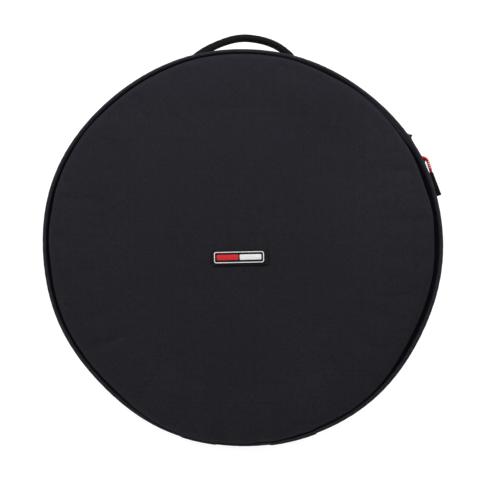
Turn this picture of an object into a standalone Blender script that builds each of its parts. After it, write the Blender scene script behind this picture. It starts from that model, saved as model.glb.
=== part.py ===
"""Floor tom bag: a round padded bag with a zipped lid, two zip sliders and a side handle.

Metres, +Z up. The bag stands on its base. Its axis is Z and the origin is the middle of the
base's underside. The handle points along -Y and the lid hinges at the back, at +Y. Round
pieces are turned about Z in steps of one segment, and their angles count from +X.
"""

import math

import bmesh
import bpy
from mathutils import Matrix, Vector

# Cloth, padding and clearances
CLEARANCE = 0.0003
CLOTH = 0.0012
LINING = 0.0012
FOAM = 0.009
BOARD = 0.003
TRIM = 0.0012
BINDING = 0.001
PIPING_RADIUS = 0.0022
PIPING_LIFT = 0.0008

# Round body
SEGMENTS = 60
SEGMENT_ANGLE = 2 * math.pi / SEGMENTS
INSIDE_RADIUS = 0.225
ZIP_HEIGHT = 0.375
PIPING_SIDES = 6

# Lid
LID_BAND_HEIGHT = 0.055
SEAM_LAP = 0.001
LID_ROLL_INSET = 0.0065
LID_RIM_FOAM = 0.0067
LID_CROWN = 0.0065
LID_FLAT_SHARE = 0.25
LID_CROWN_SHARES = (1.0, 0.75, 0.5)
LID_ROLL_STEPS = 3

# Zip, which runs round everything but the hinge
ZIP_FACE = 0.013
TAPE = 0.001
TAPE_SETBACK = 0.001
FOAM_SETBACK = 0.003
BINDING_DROP = 0.015
TEETH_HEIGHT = 0.004
TEETH_DEPTH = 0.0019
GARAGE_DROP = 0.016

# Hinge and back seam, in whole segments
HINGE_START = 12
HINGE_END = 19
SEAM_START = 15
SEAM_END = 16
HINGE_FLAP = 0.03
HINGE_GAP = 0.0004

# Sliders and their pulls
SLIDER_ANGLE_A = math.radians(206.8)
SLIDER_ANGLE_B = math.radians(213.5)
SLIDER_CLEARANCE = 0.0005
SLIDER_LENGTH = 0.016
SLIDER_HEIGHT = 0.013
SLIDER_PLATE = 0.0016
SLIDER_FLANGE = 0.0022
BRIDGE_LENGTH = 0.01
BRIDGE_WINDOW = 0.0064
BRIDGE_RISE = 0.0055
BRIDGE_BAR = 0.0016
BRIDGE_WIDTH = 0.0026
BRIDGE_CHAMFER = 0.0012
CORD_RADIUS = 0.0016
LOOP_RADIUS = 0.0034
LOOP_OFFSET = 0.003
LOOP_STEPS = 8
PULL_PIVOT_RISE = 0.0029
CORD_REACH = 0.0218
CORD_HUMP = 0.0072
CORD_HUMP_SHARE = 0.36
CORD_END_RISE = 0.0045
CORD_END_SPACING = 0.0023
LEG_STEPS = 7
TAB_LENGTH = 0.031
TAB_WIDTH = 0.0095
TAB_THICKNESS = 0.006
TAB_CHAMFER = 0.0016
TAB_TILT = math.radians(6)

# Handle: a webbing arch with a padded grip, sewn to two patches. Its arch is laid out on
# the wall, so its centre, radius and root are shares of the wall's radius.
HANDLE_HEIGHT = 0.225
HANDLE_CENTRE_SHARE = 0.7715
HANDLE_RADIUS_SHARE = 0.369
HANDLE_ROOT_SHARE = 0.9895
STRAP = 0.0025
STRAP_WIDTH = 0.038
FOOT_SLOPE = math.radians(22)
GRIP_THICKNESS = 0.006
GRIP_WIDTH = 0.042
GRIP_CHAMFER = 0.002
ARCH_STEP = math.radians(5.75)
GRIP_STEPS = 8
PATCH_HEIGHT = 0.064
PATCH_START = 48
PATCH_END = 50
ROOT_FLARE_SHARE = 0.45
CUT_OVERRUN = 0.002

# Badge
BADGE_PLACE = (0.0048, 0.0111)
BADGE_TURN = math.radians(1.25)
BADGE_PATCH_SIZE = (0.068, 0.023)
BADGE_PATCH_CORNER = 0.004
BADGE_PATCH_THICKNESS = 0.0012
BADGE_FRAME_SIZE = (0.062, 0.0164)
BADGE_FRAME_CORNER = 0.003
BADGE_FRAME_BORDER = 0.0013
BADGE_FRAME_THICKNESS = 0.0009
CORNER_STEPS = 3

MERGE_DISTANCE = 0.00001
SMOOTH_ANGLE = math.radians(35)

# Finishes: colour, roughness, metallic
FINISHES = {
    "outer_cloth": ((0.019, 0.0195, 0.024), 0.82, 0.0),
    "inner_cloth": ((0.03, 0.03, 0.033), 0.88, 0.0),
    "padding": ((0.09, 0.09, 0.095), 0.95, 0.0),
    "board": ((0.05, 0.05, 0.05), 0.7, 0.0),
    "webbing": ((0.012, 0.012, 0.014), 0.75, 0.0),
    "piping": ((0.024, 0.0245, 0.029), 0.6, 0.0),
    "zip": ((0.01, 0.01, 0.011), 0.5, 0.0),
    "black_metal": ((0.012, 0.012, 0.013), 0.35, 0.6),
    "red_cord": ((0.55, 0.02, 0.03), 0.6, 0.0),
    "rubber": ((0.013, 0.013, 0.014), 0.55, 0.0),
    "silver": ((0.6, 0.6, 0.62), 0.3, 0.8),
}

# Radii, from the lining's inner face outwards
LINING_OUT = INSIDE_RADIUS + LINING
FOAM_IN = LINING_OUT + CLEARANCE
FOAM_OUT = FOAM_IN + FOAM
CLOTH_IN = FOAM_OUT + CLEARANCE
CLOTH_OUT = CLOTH_IN + CLOTH
TRIM_IN = CLOTH_OUT + CLEARANCE
TRIM_OUT = TRIM_IN + TRIM
TAPE_OUT = CLOTH_IN + TAPE
TEETH_IN = TAPE_OUT + CLEARANCE
TEETH_OUT = TEETH_IN + TEETH_DEPTH
BINDING_IN = INSIDE_RADIUS - CLEARANCE - BINDING
PLATE_IN = TEETH_OUT + SLIDER_CLEARANCE
PLATE_OUT = PLATE_IN + SLIDER_PLATE
BRIDGE_IN = PLATE_OUT + CLEARANCE
WINDOW_TOP = PLATE_OUT + BRIDGE_RISE
BRIDGE_OUT = WINDOW_TOP + BRIDGE_BAR
ROOT_IN = TRIM_OUT + CLEARANCE
ROOT_OUT = ROOT_IN + STRAP
LID_ROLL_RADIUS = FOAM_OUT - LID_ROLL_INSET
HANDLE_CENTRE = TRIM_OUT * HANDLE_CENTRE_SHARE
HANDLE_RADIUS = TRIM_OUT * HANDLE_RADIUS_SHARE
HANDLE_ROOT = TRIM_OUT * HANDLE_ROOT_SHARE

# Heights
BOARD_LOW = CLOTH + CLEARANCE
BASE_FOAM_LOW = BOARD_LOW + BOARD + CLEARANCE
BASE_LINING_LOW = BASE_FOAM_LOW + FOAM + CLEARANCE
FLOOR_HEIGHT = BASE_LINING_LOW + LINING
WALL_CLOTH_TOP = ZIP_HEIGHT - ZIP_FACE
WALL_FOAM_TOP = ZIP_HEIGHT - FOAM_SETBACK
LID_CLOTH_LOW = ZIP_HEIGHT + ZIP_FACE
LID_FOAM_LOW = ZIP_HEIGHT + FOAM_SETBACK
LID_BAND_TOP = ZIP_HEIGHT + LID_BAND_HEIGHT
LID_CLOTH_TOP = LID_BAND_TOP + SEAM_LAP
LID_SEAM = LID_CLOTH_TOP + CLEARANCE
LID_PAD_LOW = LID_BAND_TOP + CLEARANCE
LID_PAD_RIM = LID_PAD_LOW + LID_RIM_FOAM
LID_TOP = LID_PAD_RIM + LID_CROWN + CLEARANCE + CLOTH


def clear_scene():
    """Remove every object, mesh, curve and material that is already there."""
    for item in list(bpy.data.objects):
        bpy.data.objects.remove(item, do_unlink=True)
    for group in (bpy.data.meshes, bpy.data.curves, bpy.data.materials):
        for item in list(group):
            group.remove(item)


def material(name, finish):
    """A Principled material of one of the bag's finishes."""
    colour, roughness, metallic = FINISHES[finish]
    made = bpy.data.materials.new(name)
    made.use_nodes = True
    shader = made.node_tree.nodes["Principled BSDF"]
    shader.inputs["Base Color"].default_value = (*colour, 1.0)
    shader.inputs["Roughness"].default_value = roughness
    shader.inputs["Metallic"].default_value = metallic
    made.diffuse_color = (*colour, 1.0)
    return made


def link(name, data, finish, parent=None):
    """Put a mesh or curve in the scene with its own material, under a parent empty if any."""
    piece = bpy.data.objects.new(name, data)
    data.materials.append(material(name, finish))
    bpy.context.collection.objects.link(piece)
    piece.parent = parent
    return piece


def pivot(name, place, turn=0.0, parent=None):
    """An empty on a joint's axis, which carries the moving pieces."""
    empty = bpy.data.objects.new(name, None)
    bpy.context.collection.objects.link(empty)
    empty.location = place
    empty.rotation_euler.z = turn
    empty.parent = parent
    return empty


def finish_mesh(bm, name, smooth=False):
    """Close the build of a mesh: outward faces and, on round pieces, smooth shading."""
    bmesh.ops.recalc_face_normals(bm, faces=bm.faces)
    mesh = bpy.data.meshes.new(name)
    bm.to_mesh(mesh)
    bm.free()
    if smooth:
        mesh.shade_smooth()
        mesh.set_sharp_from_angle(angle=SMOOTH_ANGLE)
    return mesh


def turned(name, outline, closed=True, start=0, end=SEGMENTS):
    """Turn an outline of (radius, height) points about Z, and cap whatever stays open.

    A closed outline makes a ring or a band. An open one makes a disc or a cap, whose two
    ends are filled with flat faces.
    """
    bm = bmesh.new()
    turn = Matrix.Rotation(start * SEGMENT_ANGLE, 3, "Z")
    corners = [bm.verts.new(turn @ Vector((radius, 0, height))) for radius, height in outline]
    following = corners[1:] + corners[:1] if closed else corners[1:]
    edges = [bm.edges.new(pair) for pair in zip(corners, following)]
    steps = end - start
    bmesh.ops.spin(
        bm,
        geom=corners + edges,
        cent=(0, 0, 0),
        axis=(0, 0, 1),
        angle=steps * SEGMENT_ANGLE,
        steps=steps,
    )
    bmesh.ops.remove_doubles(bm, verts=bm.verts, dist=MERGE_DISTANCE)
    bmesh.ops.holes_fill(bm, edges=bm.edges, sides=0)
    return finish_mesh(bm, name, smooth=True)


def band(name, inner, outer, low, high, start=0, end=SEGMENTS):
    """A ring, or a stretch of one, of rectangular section."""
    outline = [(inner, low), (outer, low), (outer, high), (inner, high)]
    return turned(name, outline, start=start, end=end)


def disc(name, radius, low, high):
    """A flat round sheet."""
    return turned(name, [(radius, low), (radius, high)], closed=False)


def piping(name, low):
    """A round cord sewn into the seam outside the cloth, with its lowest line at a height."""
    step = 2 * math.pi / PIPING_SIDES
    centre = (TRIM_IN + PIPING_RADIUS, low + PIPING_RADIUS)
    outline = [
        (
            centre[0] + PIPING_RADIUS * math.sin(side * step),
            centre[1] + PIPING_RADIUS * math.cos(side * step),
        )
        for side in range(PIPING_SIDES)
    ]
    return turned(name, outline)


def prism(name, outline, low, high, axes="xyz"):
    """Extrude a flat outline from low to high.

    axes gives the row axes of the outline's first and second value and of the extrusion.
    """
    order = ["xyz".index(letter) for letter in axes]

    def corner(first, second, third):
        place = Vector((0, 0, 0))
        for index, value in zip(order, (first, second, third)):
            place[index] = value
        return place

    bm = bmesh.new()
    face = bm.faces.new([bm.verts.new(corner(x, y, low)) for x, y in outline])
    extruded = bmesh.ops.extrude_face_region(bm, geom=[face])
    top = [item for item in extruded["geom"] if isinstance(item, bmesh.types.BMVert)]
    bmesh.ops.translate(bm, verts=top, vec=corner(0, 0, high - low))
    return finish_mesh(bm, name)


def loft(name, sections):
    """Skin a run of like sections, each a list of points, and cap its two ends."""
    bm = bmesh.new()
    rings = [[bm.verts.new(point) for point in section] for section in sections]
    for near, far in zip(rings, rings[1:]):
        for side in range(len(near)):
            following = (side + 1) % len(near)
            bm.faces.new((near[side], near[following], far[following], far[side]))
    bm.faces.new(rings[0])
    bm.faces.new(rings[-1])
    return finish_mesh(bm, name, smooth=True)


def rounded(size, corner):
    """The outline of a rectangle with rounded corners, about the origin."""
    half_length = size[0] / 2 - corner
    half_width = size[1] / 2 - corner
    outline = []
    for quarter in range(4):
        sign_x = 1 if quarter in (0, 3) else -1
        sign_y = 1 if quarter in (0, 1) else -1
        for step in range(CORNER_STEPS + 1):
            angle = (quarter + step / CORNER_STEPS) * math.pi / 2
            outline.append(
                (
                    sign_x * half_length + corner * math.cos(angle),
                    sign_y * half_width + corner * math.sin(angle),
                )
            )
    return outline


def cut(piece, cutter):
    """Take a cutter's shape out of a piece, and keep the cutter as a wire guide."""
    cutter.hide_render = True
    cutter.display_type = "WIRE"
    boolean = piece.modifiers.new("cut", "BOOLEAN")
    boolean.operation = "DIFFERENCE"
    boolean.object = cutter


def cord(name, points, parent):
    """A round cord along a list of points, with closed ends."""
    curve = bpy.data.curves.new(name, "CURVE")
    curve.dimensions = "3D"
    curve.resolution_u = 1
    curve.render_resolution_u = 0
    curve.bevel_depth = CORD_RADIUS
    curve.bevel_resolution = 2
    curve.use_fill_caps = True
    spline = curve.splines.new("POLY")
    spline.points.add(len(points) - 1)
    for place, point in zip(spline.points, points):
        place.co = (*point, 1.0)
    return link(name, curve, "red_cord", parent)


def build_base():
    """The base: outer cloth, stiffening board, foam and lining, and the piping round it."""
    inner_radius = FOAM_IN - CLEARANCE
    lining_radius = INSIDE_RADIUS - CLEARANCE
    link("base_shell", disc("base_shell", CLOTH_OUT, 0, CLOTH), "outer_cloth")
    board = disc("base_board", inner_radius, BOARD_LOW, BOARD_LOW + BOARD)
    link("base_board", board, "board")
    foam = disc("base_foam", inner_radius, BASE_FOAM_LOW, BASE_FOAM_LOW + FOAM)
    link("base_foam", foam, "padding")
    lining = disc("base_lining", lining_radius, BASE_LINING_LOW, FLOOR_HEIGHT)
    link("base_lining", lining, "inner_cloth")
    link("base_piping", piping("base_piping", PIPING_LIFT), "piping")


def build_wall():
    """The wall below the zip: outer cloth, foam, lining, bound rim and back seam tape."""
    shell = band("wall_shell", CLOTH_IN, CLOTH_OUT, BOARD_LOW, WALL_CLOTH_TOP)
    link("wall_shell", shell, "outer_cloth")
    foam = band("wall_foam", FOAM_IN, FOAM_OUT, BOARD_LOW, WALL_FOAM_TOP)
    link("wall_foam", foam, "padding")
    lining = band("wall_lining", INSIDE_RADIUS, LINING_OUT, BASE_LINING_LOW, WALL_FOAM_TOP)
    link("wall_lining", lining, "inner_cloth")
    link("rim_binding", binding("rim_binding", -1), "webbing")
    tape_low = PIPING_LIFT + 2 * PIPING_RADIUS + CLEARANCE
    tape_high = ZIP_HEIGHT - HINGE_FLAP - CLEARANCE
    tape = band(
        "back_seam_tape", TRIM_IN, TRIM_OUT, tape_low, tape_high, SEAM_START, SEAM_END
    )
    link("back_seam_tape", tape, "webbing")


def binding(name, side):
    """Tape folded over the foam's edge and down the lining. side is -1 below the zip, 1 above."""
    edge = ZIP_HEIGHT + side * (FOAM_SETBACK - CLEARANCE)
    tip = edge - side * BINDING
    drop = edge + side * BINDING_DROP
    leg = INSIDE_RADIUS - CLEARANCE
    outline = [
        (BINDING_IN, tip),
        (FOAM_OUT, tip),
        (FOAM_OUT, edge),
        (leg, edge),
        (leg, drop),
        (BINDING_IN, drop),
    ]
    return turned(name, outline)


def crown(offset):
    """The lid's top line at an offset above its foam, from the rolled edge to the flat middle."""
    points = []
    reach = FOAM_OUT + offset - LID_ROLL_RADIUS
    rise = LID_PAD_RIM + offset - LID_SEAM
    for step in range(LID_ROLL_STEPS):
        angle = step / LID_ROLL_STEPS * math.pi / 2
        radius = LID_ROLL_RADIUS + reach * math.cos(angle)
        points.append((radius, LID_SEAM + rise * math.sin(angle)))
    for share in (*LID_CROWN_SHARES, LID_FLAT_SHARE):
        along = (share - LID_FLAT_SHARE) / (1 - LID_FLAT_SHARE)
        height = LID_PAD_RIM + offset + LID_CROWN * (1 - along * along)
        points.append((LID_ROLL_RADIUS * share, height))
    return points


def build_lid(hinge):
    """The lid: crowned top, its foam and lining, and the band above the zip."""

    def add(name, mesh, finish):
        link(name, mesh, finish, hinge).location = -hinge.location

    under = crown(CLEARANCE)
    over = crown(CLEARANCE + CLOTH)
    add("lid_panel", turned("lid_panel", under[::-1] + over, closed=False), "outer_cloth")
    foam = turned("lid_foam", [(FOAM_OUT, LID_PAD_LOW)] + crown(0), closed=False)
    add("lid_foam", foam, "padding")
    radius = INSIDE_RADIUS - CLEARANCE
    lining = disc("lid_lining", radius, LID_BAND_TOP - LINING, LID_BAND_TOP)
    add("lid_lining", lining, "inner_cloth")
    add("lid_piping", piping("lid_piping", LID_SEAM), "piping")
    shell = band("lid_band_shell", CLOTH_IN, CLOTH_OUT, LID_CLOTH_LOW, LID_CLOTH_TOP)
    add("lid_band_shell", shell, "outer_cloth")
    foam = band("lid_band_foam", FOAM_IN, FOAM_OUT, LID_FOAM_LOW, LID_BAND_TOP)
    add("lid_band_foam", foam, "padding")
    lining = band("lid_band_lining", INSIDE_RADIUS, LINING_OUT, LID_FOAM_LOW, LID_BAND_TOP)
    add("lid_band_lining", lining, "inner_cloth")
    add("lid_rim_binding", binding("lid_rim_binding", 1), "webbing")
    add("zip_tape_upper", zip_tape("zip_tape_upper", 1), "zip")
    add("zip_teeth_upper", zip_teeth("zip_teeth_upper", 1), "zip")
    add("hinge_panel_upper", hinge_panel("hinge_panel_upper", 1), "webbing")


def zip_span():
    """The zip's first and last segment: all the way round from the hinge's end to its start."""
    return HINGE_END, SEGMENTS + HINGE_START


def zip_tape(name, side):
    """One half of the zip's tape, from the cloth's edge almost to the zip line."""
    near = ZIP_HEIGHT + side * TAPE_SETBACK
    far = ZIP_HEIGHT + side * (ZIP_FACE - CLEARANCE)
    return band(name, CLOTH_IN, TAPE_OUT, min(near, far), max(near, far), *zip_span())


def zip_teeth(name, side):
    """One row of the zip's teeth, on the outer face of its tape."""
    near = ZIP_HEIGHT + side * CLEARANCE / 2
    far = ZIP_HEIGHT + side * TEETH_HEIGHT
    return band(name, TEETH_IN, TEETH_OUT, min(near, far), max(near, far), *zip_span())


def hinge_panel(name, side):
    """One half of the cloth panel that joins lid and wall at the back."""
    near = ZIP_HEIGHT + side * HINGE_GAP
    far = ZIP_HEIGHT + side * HINGE_FLAP
    low, high = min(near, far), max(near, far)
    return band(name, TRIM_IN, TRIM_OUT, low, high, HINGE_START, HINGE_END)


def build_zip_below():
    """The zip's lower half, the garages over its two ends, and the hinge's lower half."""
    link("zip_tape_lower", zip_tape("zip_tape_lower", -1), "zip")
    link("zip_teeth_lower", zip_teeth("zip_teeth_lower", -1), "zip")
    link("hinge_panel_lower", hinge_panel("hinge_panel_lower", -1), "webbing")
    inner = TEETH_OUT + CLEARANCE
    low = ZIP_HEIGHT - GARAGE_DROP
    high = ZIP_HEIGHT - HINGE_GAP
    for name, start in (("zip_garage_left", HINGE_END), ("zip_garage_right", HINGE_START - 1)):
        garage = band(name, inner, inner + TRIM, low, high, start, start + 1)
        link(name, garage, "webbing")


def build_badge(hinge):
    """A bare moulded badge: a soft patch on the lid with a raised silver border."""
    x, y = BADGE_PLACE
    low = LID_TOP + CLEARANCE
    middle = pivot("badge_place", Vector((x, y, low)) - hinge.location, BADGE_TURN, hinge)
    outline = rounded(BADGE_PATCH_SIZE, BADGE_PATCH_CORNER)
    patch = prism("badge_patch", outline, 0, BADGE_PATCH_THICKNESS)
    link("badge_patch", patch, "rubber", middle)
    low = BADGE_PATCH_THICKNESS + CLEARANCE
    high = low + BADGE_FRAME_THICKNESS
    outline = rounded(BADGE_FRAME_SIZE, BADGE_FRAME_CORNER)
    frame = link("badge_frame", prism("badge_frame", outline, low, high), "silver", middle)
    size = [side - 2 * BADGE_FRAME_BORDER for side in BADGE_FRAME_SIZE]
    window = rounded(size, BADGE_FRAME_CORNER - BADGE_FRAME_BORDER)
    cutter = prism("badge_window", window, low - CUT_OVERRUN, high + CUT_OVERRUN)
    cut(frame, link("badge_window", cutter, "silver", middle))


def build_slider(letter, angle):
    """A slider's plate and bridge. Returns the empty that carries them along the zip.

    In the slider's own frame x runs outwards, y along the zip and z up from the zip line.
    """
    travel = pivot(f"slider_{letter}_travel", (0, 0, ZIP_HEIGHT), angle)
    half_height = SLIDER_HEIGHT / 2
    flange_top = SLIDER_FLANGE - half_height
    outline = [
        (TEETH_IN, -half_height),
        (PLATE_OUT, -half_height),
        (PLATE_OUT, half_height),
        (PLATE_IN, half_height),
        (PLATE_IN, flange_top),
        (TEETH_IN, flange_top),
    ]
    name = f"slider_{letter}_body"
    plate = prism(name, outline, -SLIDER_LENGTH / 2, SLIDER_LENGTH / 2, "xzy")
    link(name, plate, "black_metal", travel)
    end = BRIDGE_LENGTH / 2
    post = BRIDGE_WINDOW / 2
    outline = [
        (BRIDGE_IN, -end),
        (BRIDGE_OUT - BRIDGE_CHAMFER, -end),
        (BRIDGE_OUT, BRIDGE_CHAMFER - end),
        (BRIDGE_OUT, end - BRIDGE_CHAMFER),
        (BRIDGE_OUT - BRIDGE_CHAMFER, end),
        (BRIDGE_IN, end),
        (BRIDGE_IN, post),
        (WINDOW_TOP, post),
        (WINDOW_TOP, -post),
        (BRIDGE_IN, -post),
    ]
    name = f"slider_{letter}_crown"
    bridge = prism(name, outline, -BRIDGE_WIDTH / 2, BRIDGE_WIDTH / 2)
    link(name, bridge, "black_metal", travel)
    return travel


def tab_outline():
    """The pull tab from above: its length along x from the cord's end, with chamfers there."""
    half = TAB_THICKNESS / 2
    return [
        (0, TAB_CHAMFER - half),
        (TAB_CHAMFER, -half),
        (TAB_LENGTH, -half),
        (TAB_LENGTH, half),
        (TAB_CHAMFER, half),
        (0, half - TAB_CHAMFER),
    ]


def blend_share(share):
    """Ease a share from 0 to 1 with level ends."""
    return share * share * (3 - 2 * share)


def build_pull_a(travel):
    """The pull that points along the zip: a cord loop through the bridge, and its tab.

    Its frame sits on the swing axis. The loop turns round in the window and humps outwards
    on its way to the tab.
    """
    swing = pivot("pull_a_swing", (PLATE_OUT + PULL_PIVOT_RISE, 0, 0), 0.0, travel)
    start = Vector((CORD_END_RISE, -CORD_REACH, 0))
    along = Vector((-math.sin(TAB_TILT), -math.cos(TAB_TILT), 0))
    spread = TAB_WIDTH / 2 - CORD_RADIUS - CORD_RADIUS / 2
    leg = []
    for step in range(1, LEG_STEPS):
        share = step / LEG_STEPS
        hump = math.sin(math.pi * min(share / (2 * CORD_HUMP_SHARE), 1.0))
        rise = CORD_END_RISE * blend_share(share)
        x = rise + (CORD_HUMP - CORD_END_RISE * CORD_HUMP_SHARE) * hump
        y = -LOOP_OFFSET + (LOOP_OFFSET + CORD_END_SPACING - CORD_REACH) * share
        leg.append(Vector((x, y, LOOP_RADIUS + (spread - LOOP_RADIUS) * share)))
    upright = Vector((0, 0, spread))
    for distance in (CORD_END_SPACING + CLEARANCE, CLEARANCE):
        leg.append(start - along * distance + upright)
    bend = []
    for step in range(LOOP_STEPS + 1):
        angle = math.pi * (step / LOOP_STEPS - 1 / 2)
        y = LOOP_RADIUS * math.cos(angle) - LOOP_OFFSET
        bend.append(Vector((0, y, LOOP_RADIUS * math.sin(angle))))
    below = [Vector((point.x, point.y, -point.z)) for point in leg]
    cord("pull_a_cord", below[::-1] + bend + leg, swing)
    tab = prism("pull_a_tab", tab_outline(), -TAB_WIDTH / 2, TAB_WIDTH / 2)
    piece = link("pull_a_tab", tab, "rubber", swing)
    piece.location = start
    piece.rotation_euler.z = math.atan2(along.y, along.x)


def build_pull_b(travel):
    """The pull that hangs down: a cord loop round the bridge's bar, and its tab.

    Its frame sits on the swing axis. The loop's two legs make a quarter turn about each
    other on the way to the tab, whose wide face lies along the wall.
    """
    swing = pivot("pull_b_swing", (WINDOW_TOP + BRIDGE_BAR / 2, 0, 0), 0.0, travel)
    spread = TAB_WIDTH / 2 - CORD_RADIUS - CORD_RADIUS / 2
    leg = []
    for step in range(1, LEG_STEPS):
        share = step / LEG_STEPS
        twist = blend_share(share) * math.pi / 2
        radius = LOOP_RADIUS + (spread - LOOP_RADIUS) * share
        z = (CORD_END_SPACING - CORD_REACH) * share
        leg.append(Vector((radius * math.cos(twist), radius * math.sin(twist), z)))
    for distance in (CORD_END_SPACING + CLEARANCE, CLEARANCE):
        leg.append(Vector((0, spread, distance - CORD_REACH)))
    bend = []
    for step in range(LOOP_STEPS + 1):
        angle = math.pi * step / LOOP_STEPS
        bend.append(Vector((-LOOP_RADIUS * math.cos(angle), 0, LOOP_RADIUS * math.sin(angle))))
    inner = [Vector((-point.x, -point.y, point.z)) for point in leg]
    cord("pull_b_cord", inner[::-1] + bend + leg, swing)
    tab = prism("pull_b_tab", tab_outline(), -TAB_WIDTH / 2, TAB_WIDTH / 2, "zxy")
    piece = link("pull_b_tab", tab, "rubber", swing)
    piece.scale.z = -1
    piece.location.z = -CORD_REACH


def arch_point(radius, angle, height):
    """A point of the handle's arch, by its angle from straight out."""
    return Vector((radius * math.sin(angle), -HANDLE_CENTRE - radius * math.cos(angle), height))


def arch_crossing(radius, depth):
    """The angle at which an arch of a radius crosses the plane at a depth along -Y."""
    return math.acos((depth - HANDLE_CENTRE) / radius)


def strap_section(angle):
    """The strap's section at an angle of the arch."""
    return [arch_point(radius, angle, height) for radius, height in strap_corners()]


def strap_corners():
    """The radius and height of the points round the strap's section."""
    half = STRAP_WIDTH / 2
    inner = HANDLE_RADIUS - STRAP / 2
    outer = HANDLE_RADIUS + STRAP / 2
    return [(inner, -half), (inner, 0), (inner, half), (outer, half), (outer, 0), (outer, -half)]


def strap_foot(side):
    """The section at one of the strap's feet, which is cut back to a shallow point there."""
    section = []
    for radius, height in strap_corners():
        depth = HANDLE_ROOT + abs(height) * math.tan(FOOT_SLOPE)
        section.append(arch_point(radius, side * arch_crossing(radius, depth), height))
    return section


def grip_section(angle, thickness, width, chamfer):
    """A chamfered rectangular section across the arch."""
    half_thickness = thickness / 2
    half_width = width / 2
    corners = [
        (chamfer - half_thickness, -half_width),
        (half_thickness - chamfer, -half_width),
        (half_thickness, chamfer - half_width),
        (half_thickness, half_width - chamfer),
        (half_thickness - chamfer, half_width),
        (chamfer - half_thickness, half_width),
        (-half_thickness, half_width - chamfer),
        (-half_thickness, chamfer - half_width),
    ]
    return [arch_point(HANDLE_RADIUS + across, angle, height) for across, height in corners]


def arch_angles(steps):
    """The angles of the arch's sections, a number of steps to each side of its middle."""
    return [step * ARCH_STEP for step in range(-steps, steps + 1)]


def build_handle():
    """The handle: strap and grip on their own axis, and the parts sewn to the wall."""
    lean = pivot("handle_lean", (0, -HANDLE_ROOT, HANDLE_HEIGHT))
    sections = [strap_section(angle) for angle in arch_angles(GRIP_STEPS)]
    sections = [strap_foot(-1), *sections, strap_foot(1)]
    strap = link("handle_strap", loft("handle_strap", sections), "webbing", lean)
    sections = [
        grip_section(angle, GRIP_THICKNESS, GRIP_WIDTH, GRIP_CHAMFER)
        for angle in arch_angles(GRIP_STEPS)
    ]
    grip = link("handle_grip", loft("handle_grip", sections), "webbing", lean)
    thickness = STRAP + 2 * CLEARANCE
    width = STRAP_WIDTH + 2 * CLEARANCE
    sections = [
        grip_section(angle, thickness, width, CLEARANCE / 4)
        for angle in arch_angles(GRIP_STEPS + 1)
    ]
    bore = link("grip_bore", loft("grip_bore", sections), "webbing", lean)
    for piece in (strap, grip, bore):
        piece.location.y = HANDLE_ROOT
    cut(grip, bore)
    for name, side in (("left", -1), ("right", 1)):
        build_handle_root(name, side)


def build_handle_root(name, side):
    """A patch on the wall, and the strap's sewn end that flares off it to the strap's foot."""
    low = HANDLE_HEIGHT - PATCH_HEIGHT / 2
    start, end = PATCH_START, PATCH_END
    if side < 0:
        start, end = 3 * SEGMENTS // 2 - PATCH_END, 3 * SEGMENTS // 2 - PATCH_START
    label = f"handle_patch_{name}"
    patch = band(label, TRIM_IN, TRIM_OUT, low, low + PATCH_HEIGHT, start, end)
    link(label, patch, "webbing")

    def on_wall(radius, segment):
        angle = segment * SEGMENT_ANGLE
        return Vector((radius * math.cos(angle), radius * math.sin(angle)))

    def on_strap(radius):
        depth = HANDLE_ROOT - CLEARANCE
        return Vector((radius * math.sin(arch_crossing(radius, depth)), -depth))

    near, far = PATCH_START, PATCH_START + 1
    tip = on_wall(ROOT_OUT, far)
    outline = [
        on_wall(ROOT_IN, far),
        on_wall(ROOT_IN, near),
        on_strap(HANDLE_RADIUS - STRAP / 2),
        on_strap(HANDLE_RADIUS + STRAP / 2),
        tip.lerp(on_wall(ROOT_OUT, near), ROOT_FLARE_SHARE),
        tip,
    ]
    outline = [(side * point.x, point.y) for point in outline]
    low = HANDLE_HEIGHT - STRAP_WIDTH / 2
    label = f"handle_end_{name}"
    link(label, prism(label, outline, low, low + STRAP_WIDTH), "webbing")


def main():
    clear_scene()
    build_base()
    build_wall()
    build_zip_below()
    hinge = pivot("lid_hinge", (0, TRIM_OUT, ZIP_HEIGHT))
    build_lid(hinge)
    build_badge(hinge)
    build_pull_a(build_slider("a", SLIDER_ANGLE_A))
    build_pull_b(build_slider("b", SLIDER_ANGLE_B))
    build_handle()


main()
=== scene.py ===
"""Floor tom bag: every visible piece of the bag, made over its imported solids, and its stage.

Metres, +Z up, as the frame has it. The bag stands on its base, the handle points along -Y and
the lid hinges at +Y. Angles round the bag count from +X, in degrees where a name says so.
"""

import math

import bpy
import numpy as np
from bpy.props import FloatProperty, FloatVectorProperty, PointerProperty
from bpy.types import Operator, Panel, PropertyGroup
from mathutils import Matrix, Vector
from mathutils.kdtree import KDTree


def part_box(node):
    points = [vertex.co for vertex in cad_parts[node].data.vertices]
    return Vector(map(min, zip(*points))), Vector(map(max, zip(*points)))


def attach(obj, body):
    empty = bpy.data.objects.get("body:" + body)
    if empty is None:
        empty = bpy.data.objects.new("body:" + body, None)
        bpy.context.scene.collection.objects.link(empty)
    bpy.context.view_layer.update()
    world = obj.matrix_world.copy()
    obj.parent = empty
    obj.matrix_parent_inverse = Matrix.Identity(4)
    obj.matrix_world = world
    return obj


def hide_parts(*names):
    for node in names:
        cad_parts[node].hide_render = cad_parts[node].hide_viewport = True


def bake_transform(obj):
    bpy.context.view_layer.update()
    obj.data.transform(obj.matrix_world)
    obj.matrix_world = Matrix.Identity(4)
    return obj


bl_info = {
    "name": "Floor Tom Bag",
    "version": (1, 0, 0),
    "blender": (4, 5, 0),
    "location": "3D View > Sidebar > Tom Bag",
    "description": "Makes a padded floor tom bag with a zipped lid, piece by piece",
    "category": "Add Mesh",
}

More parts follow.
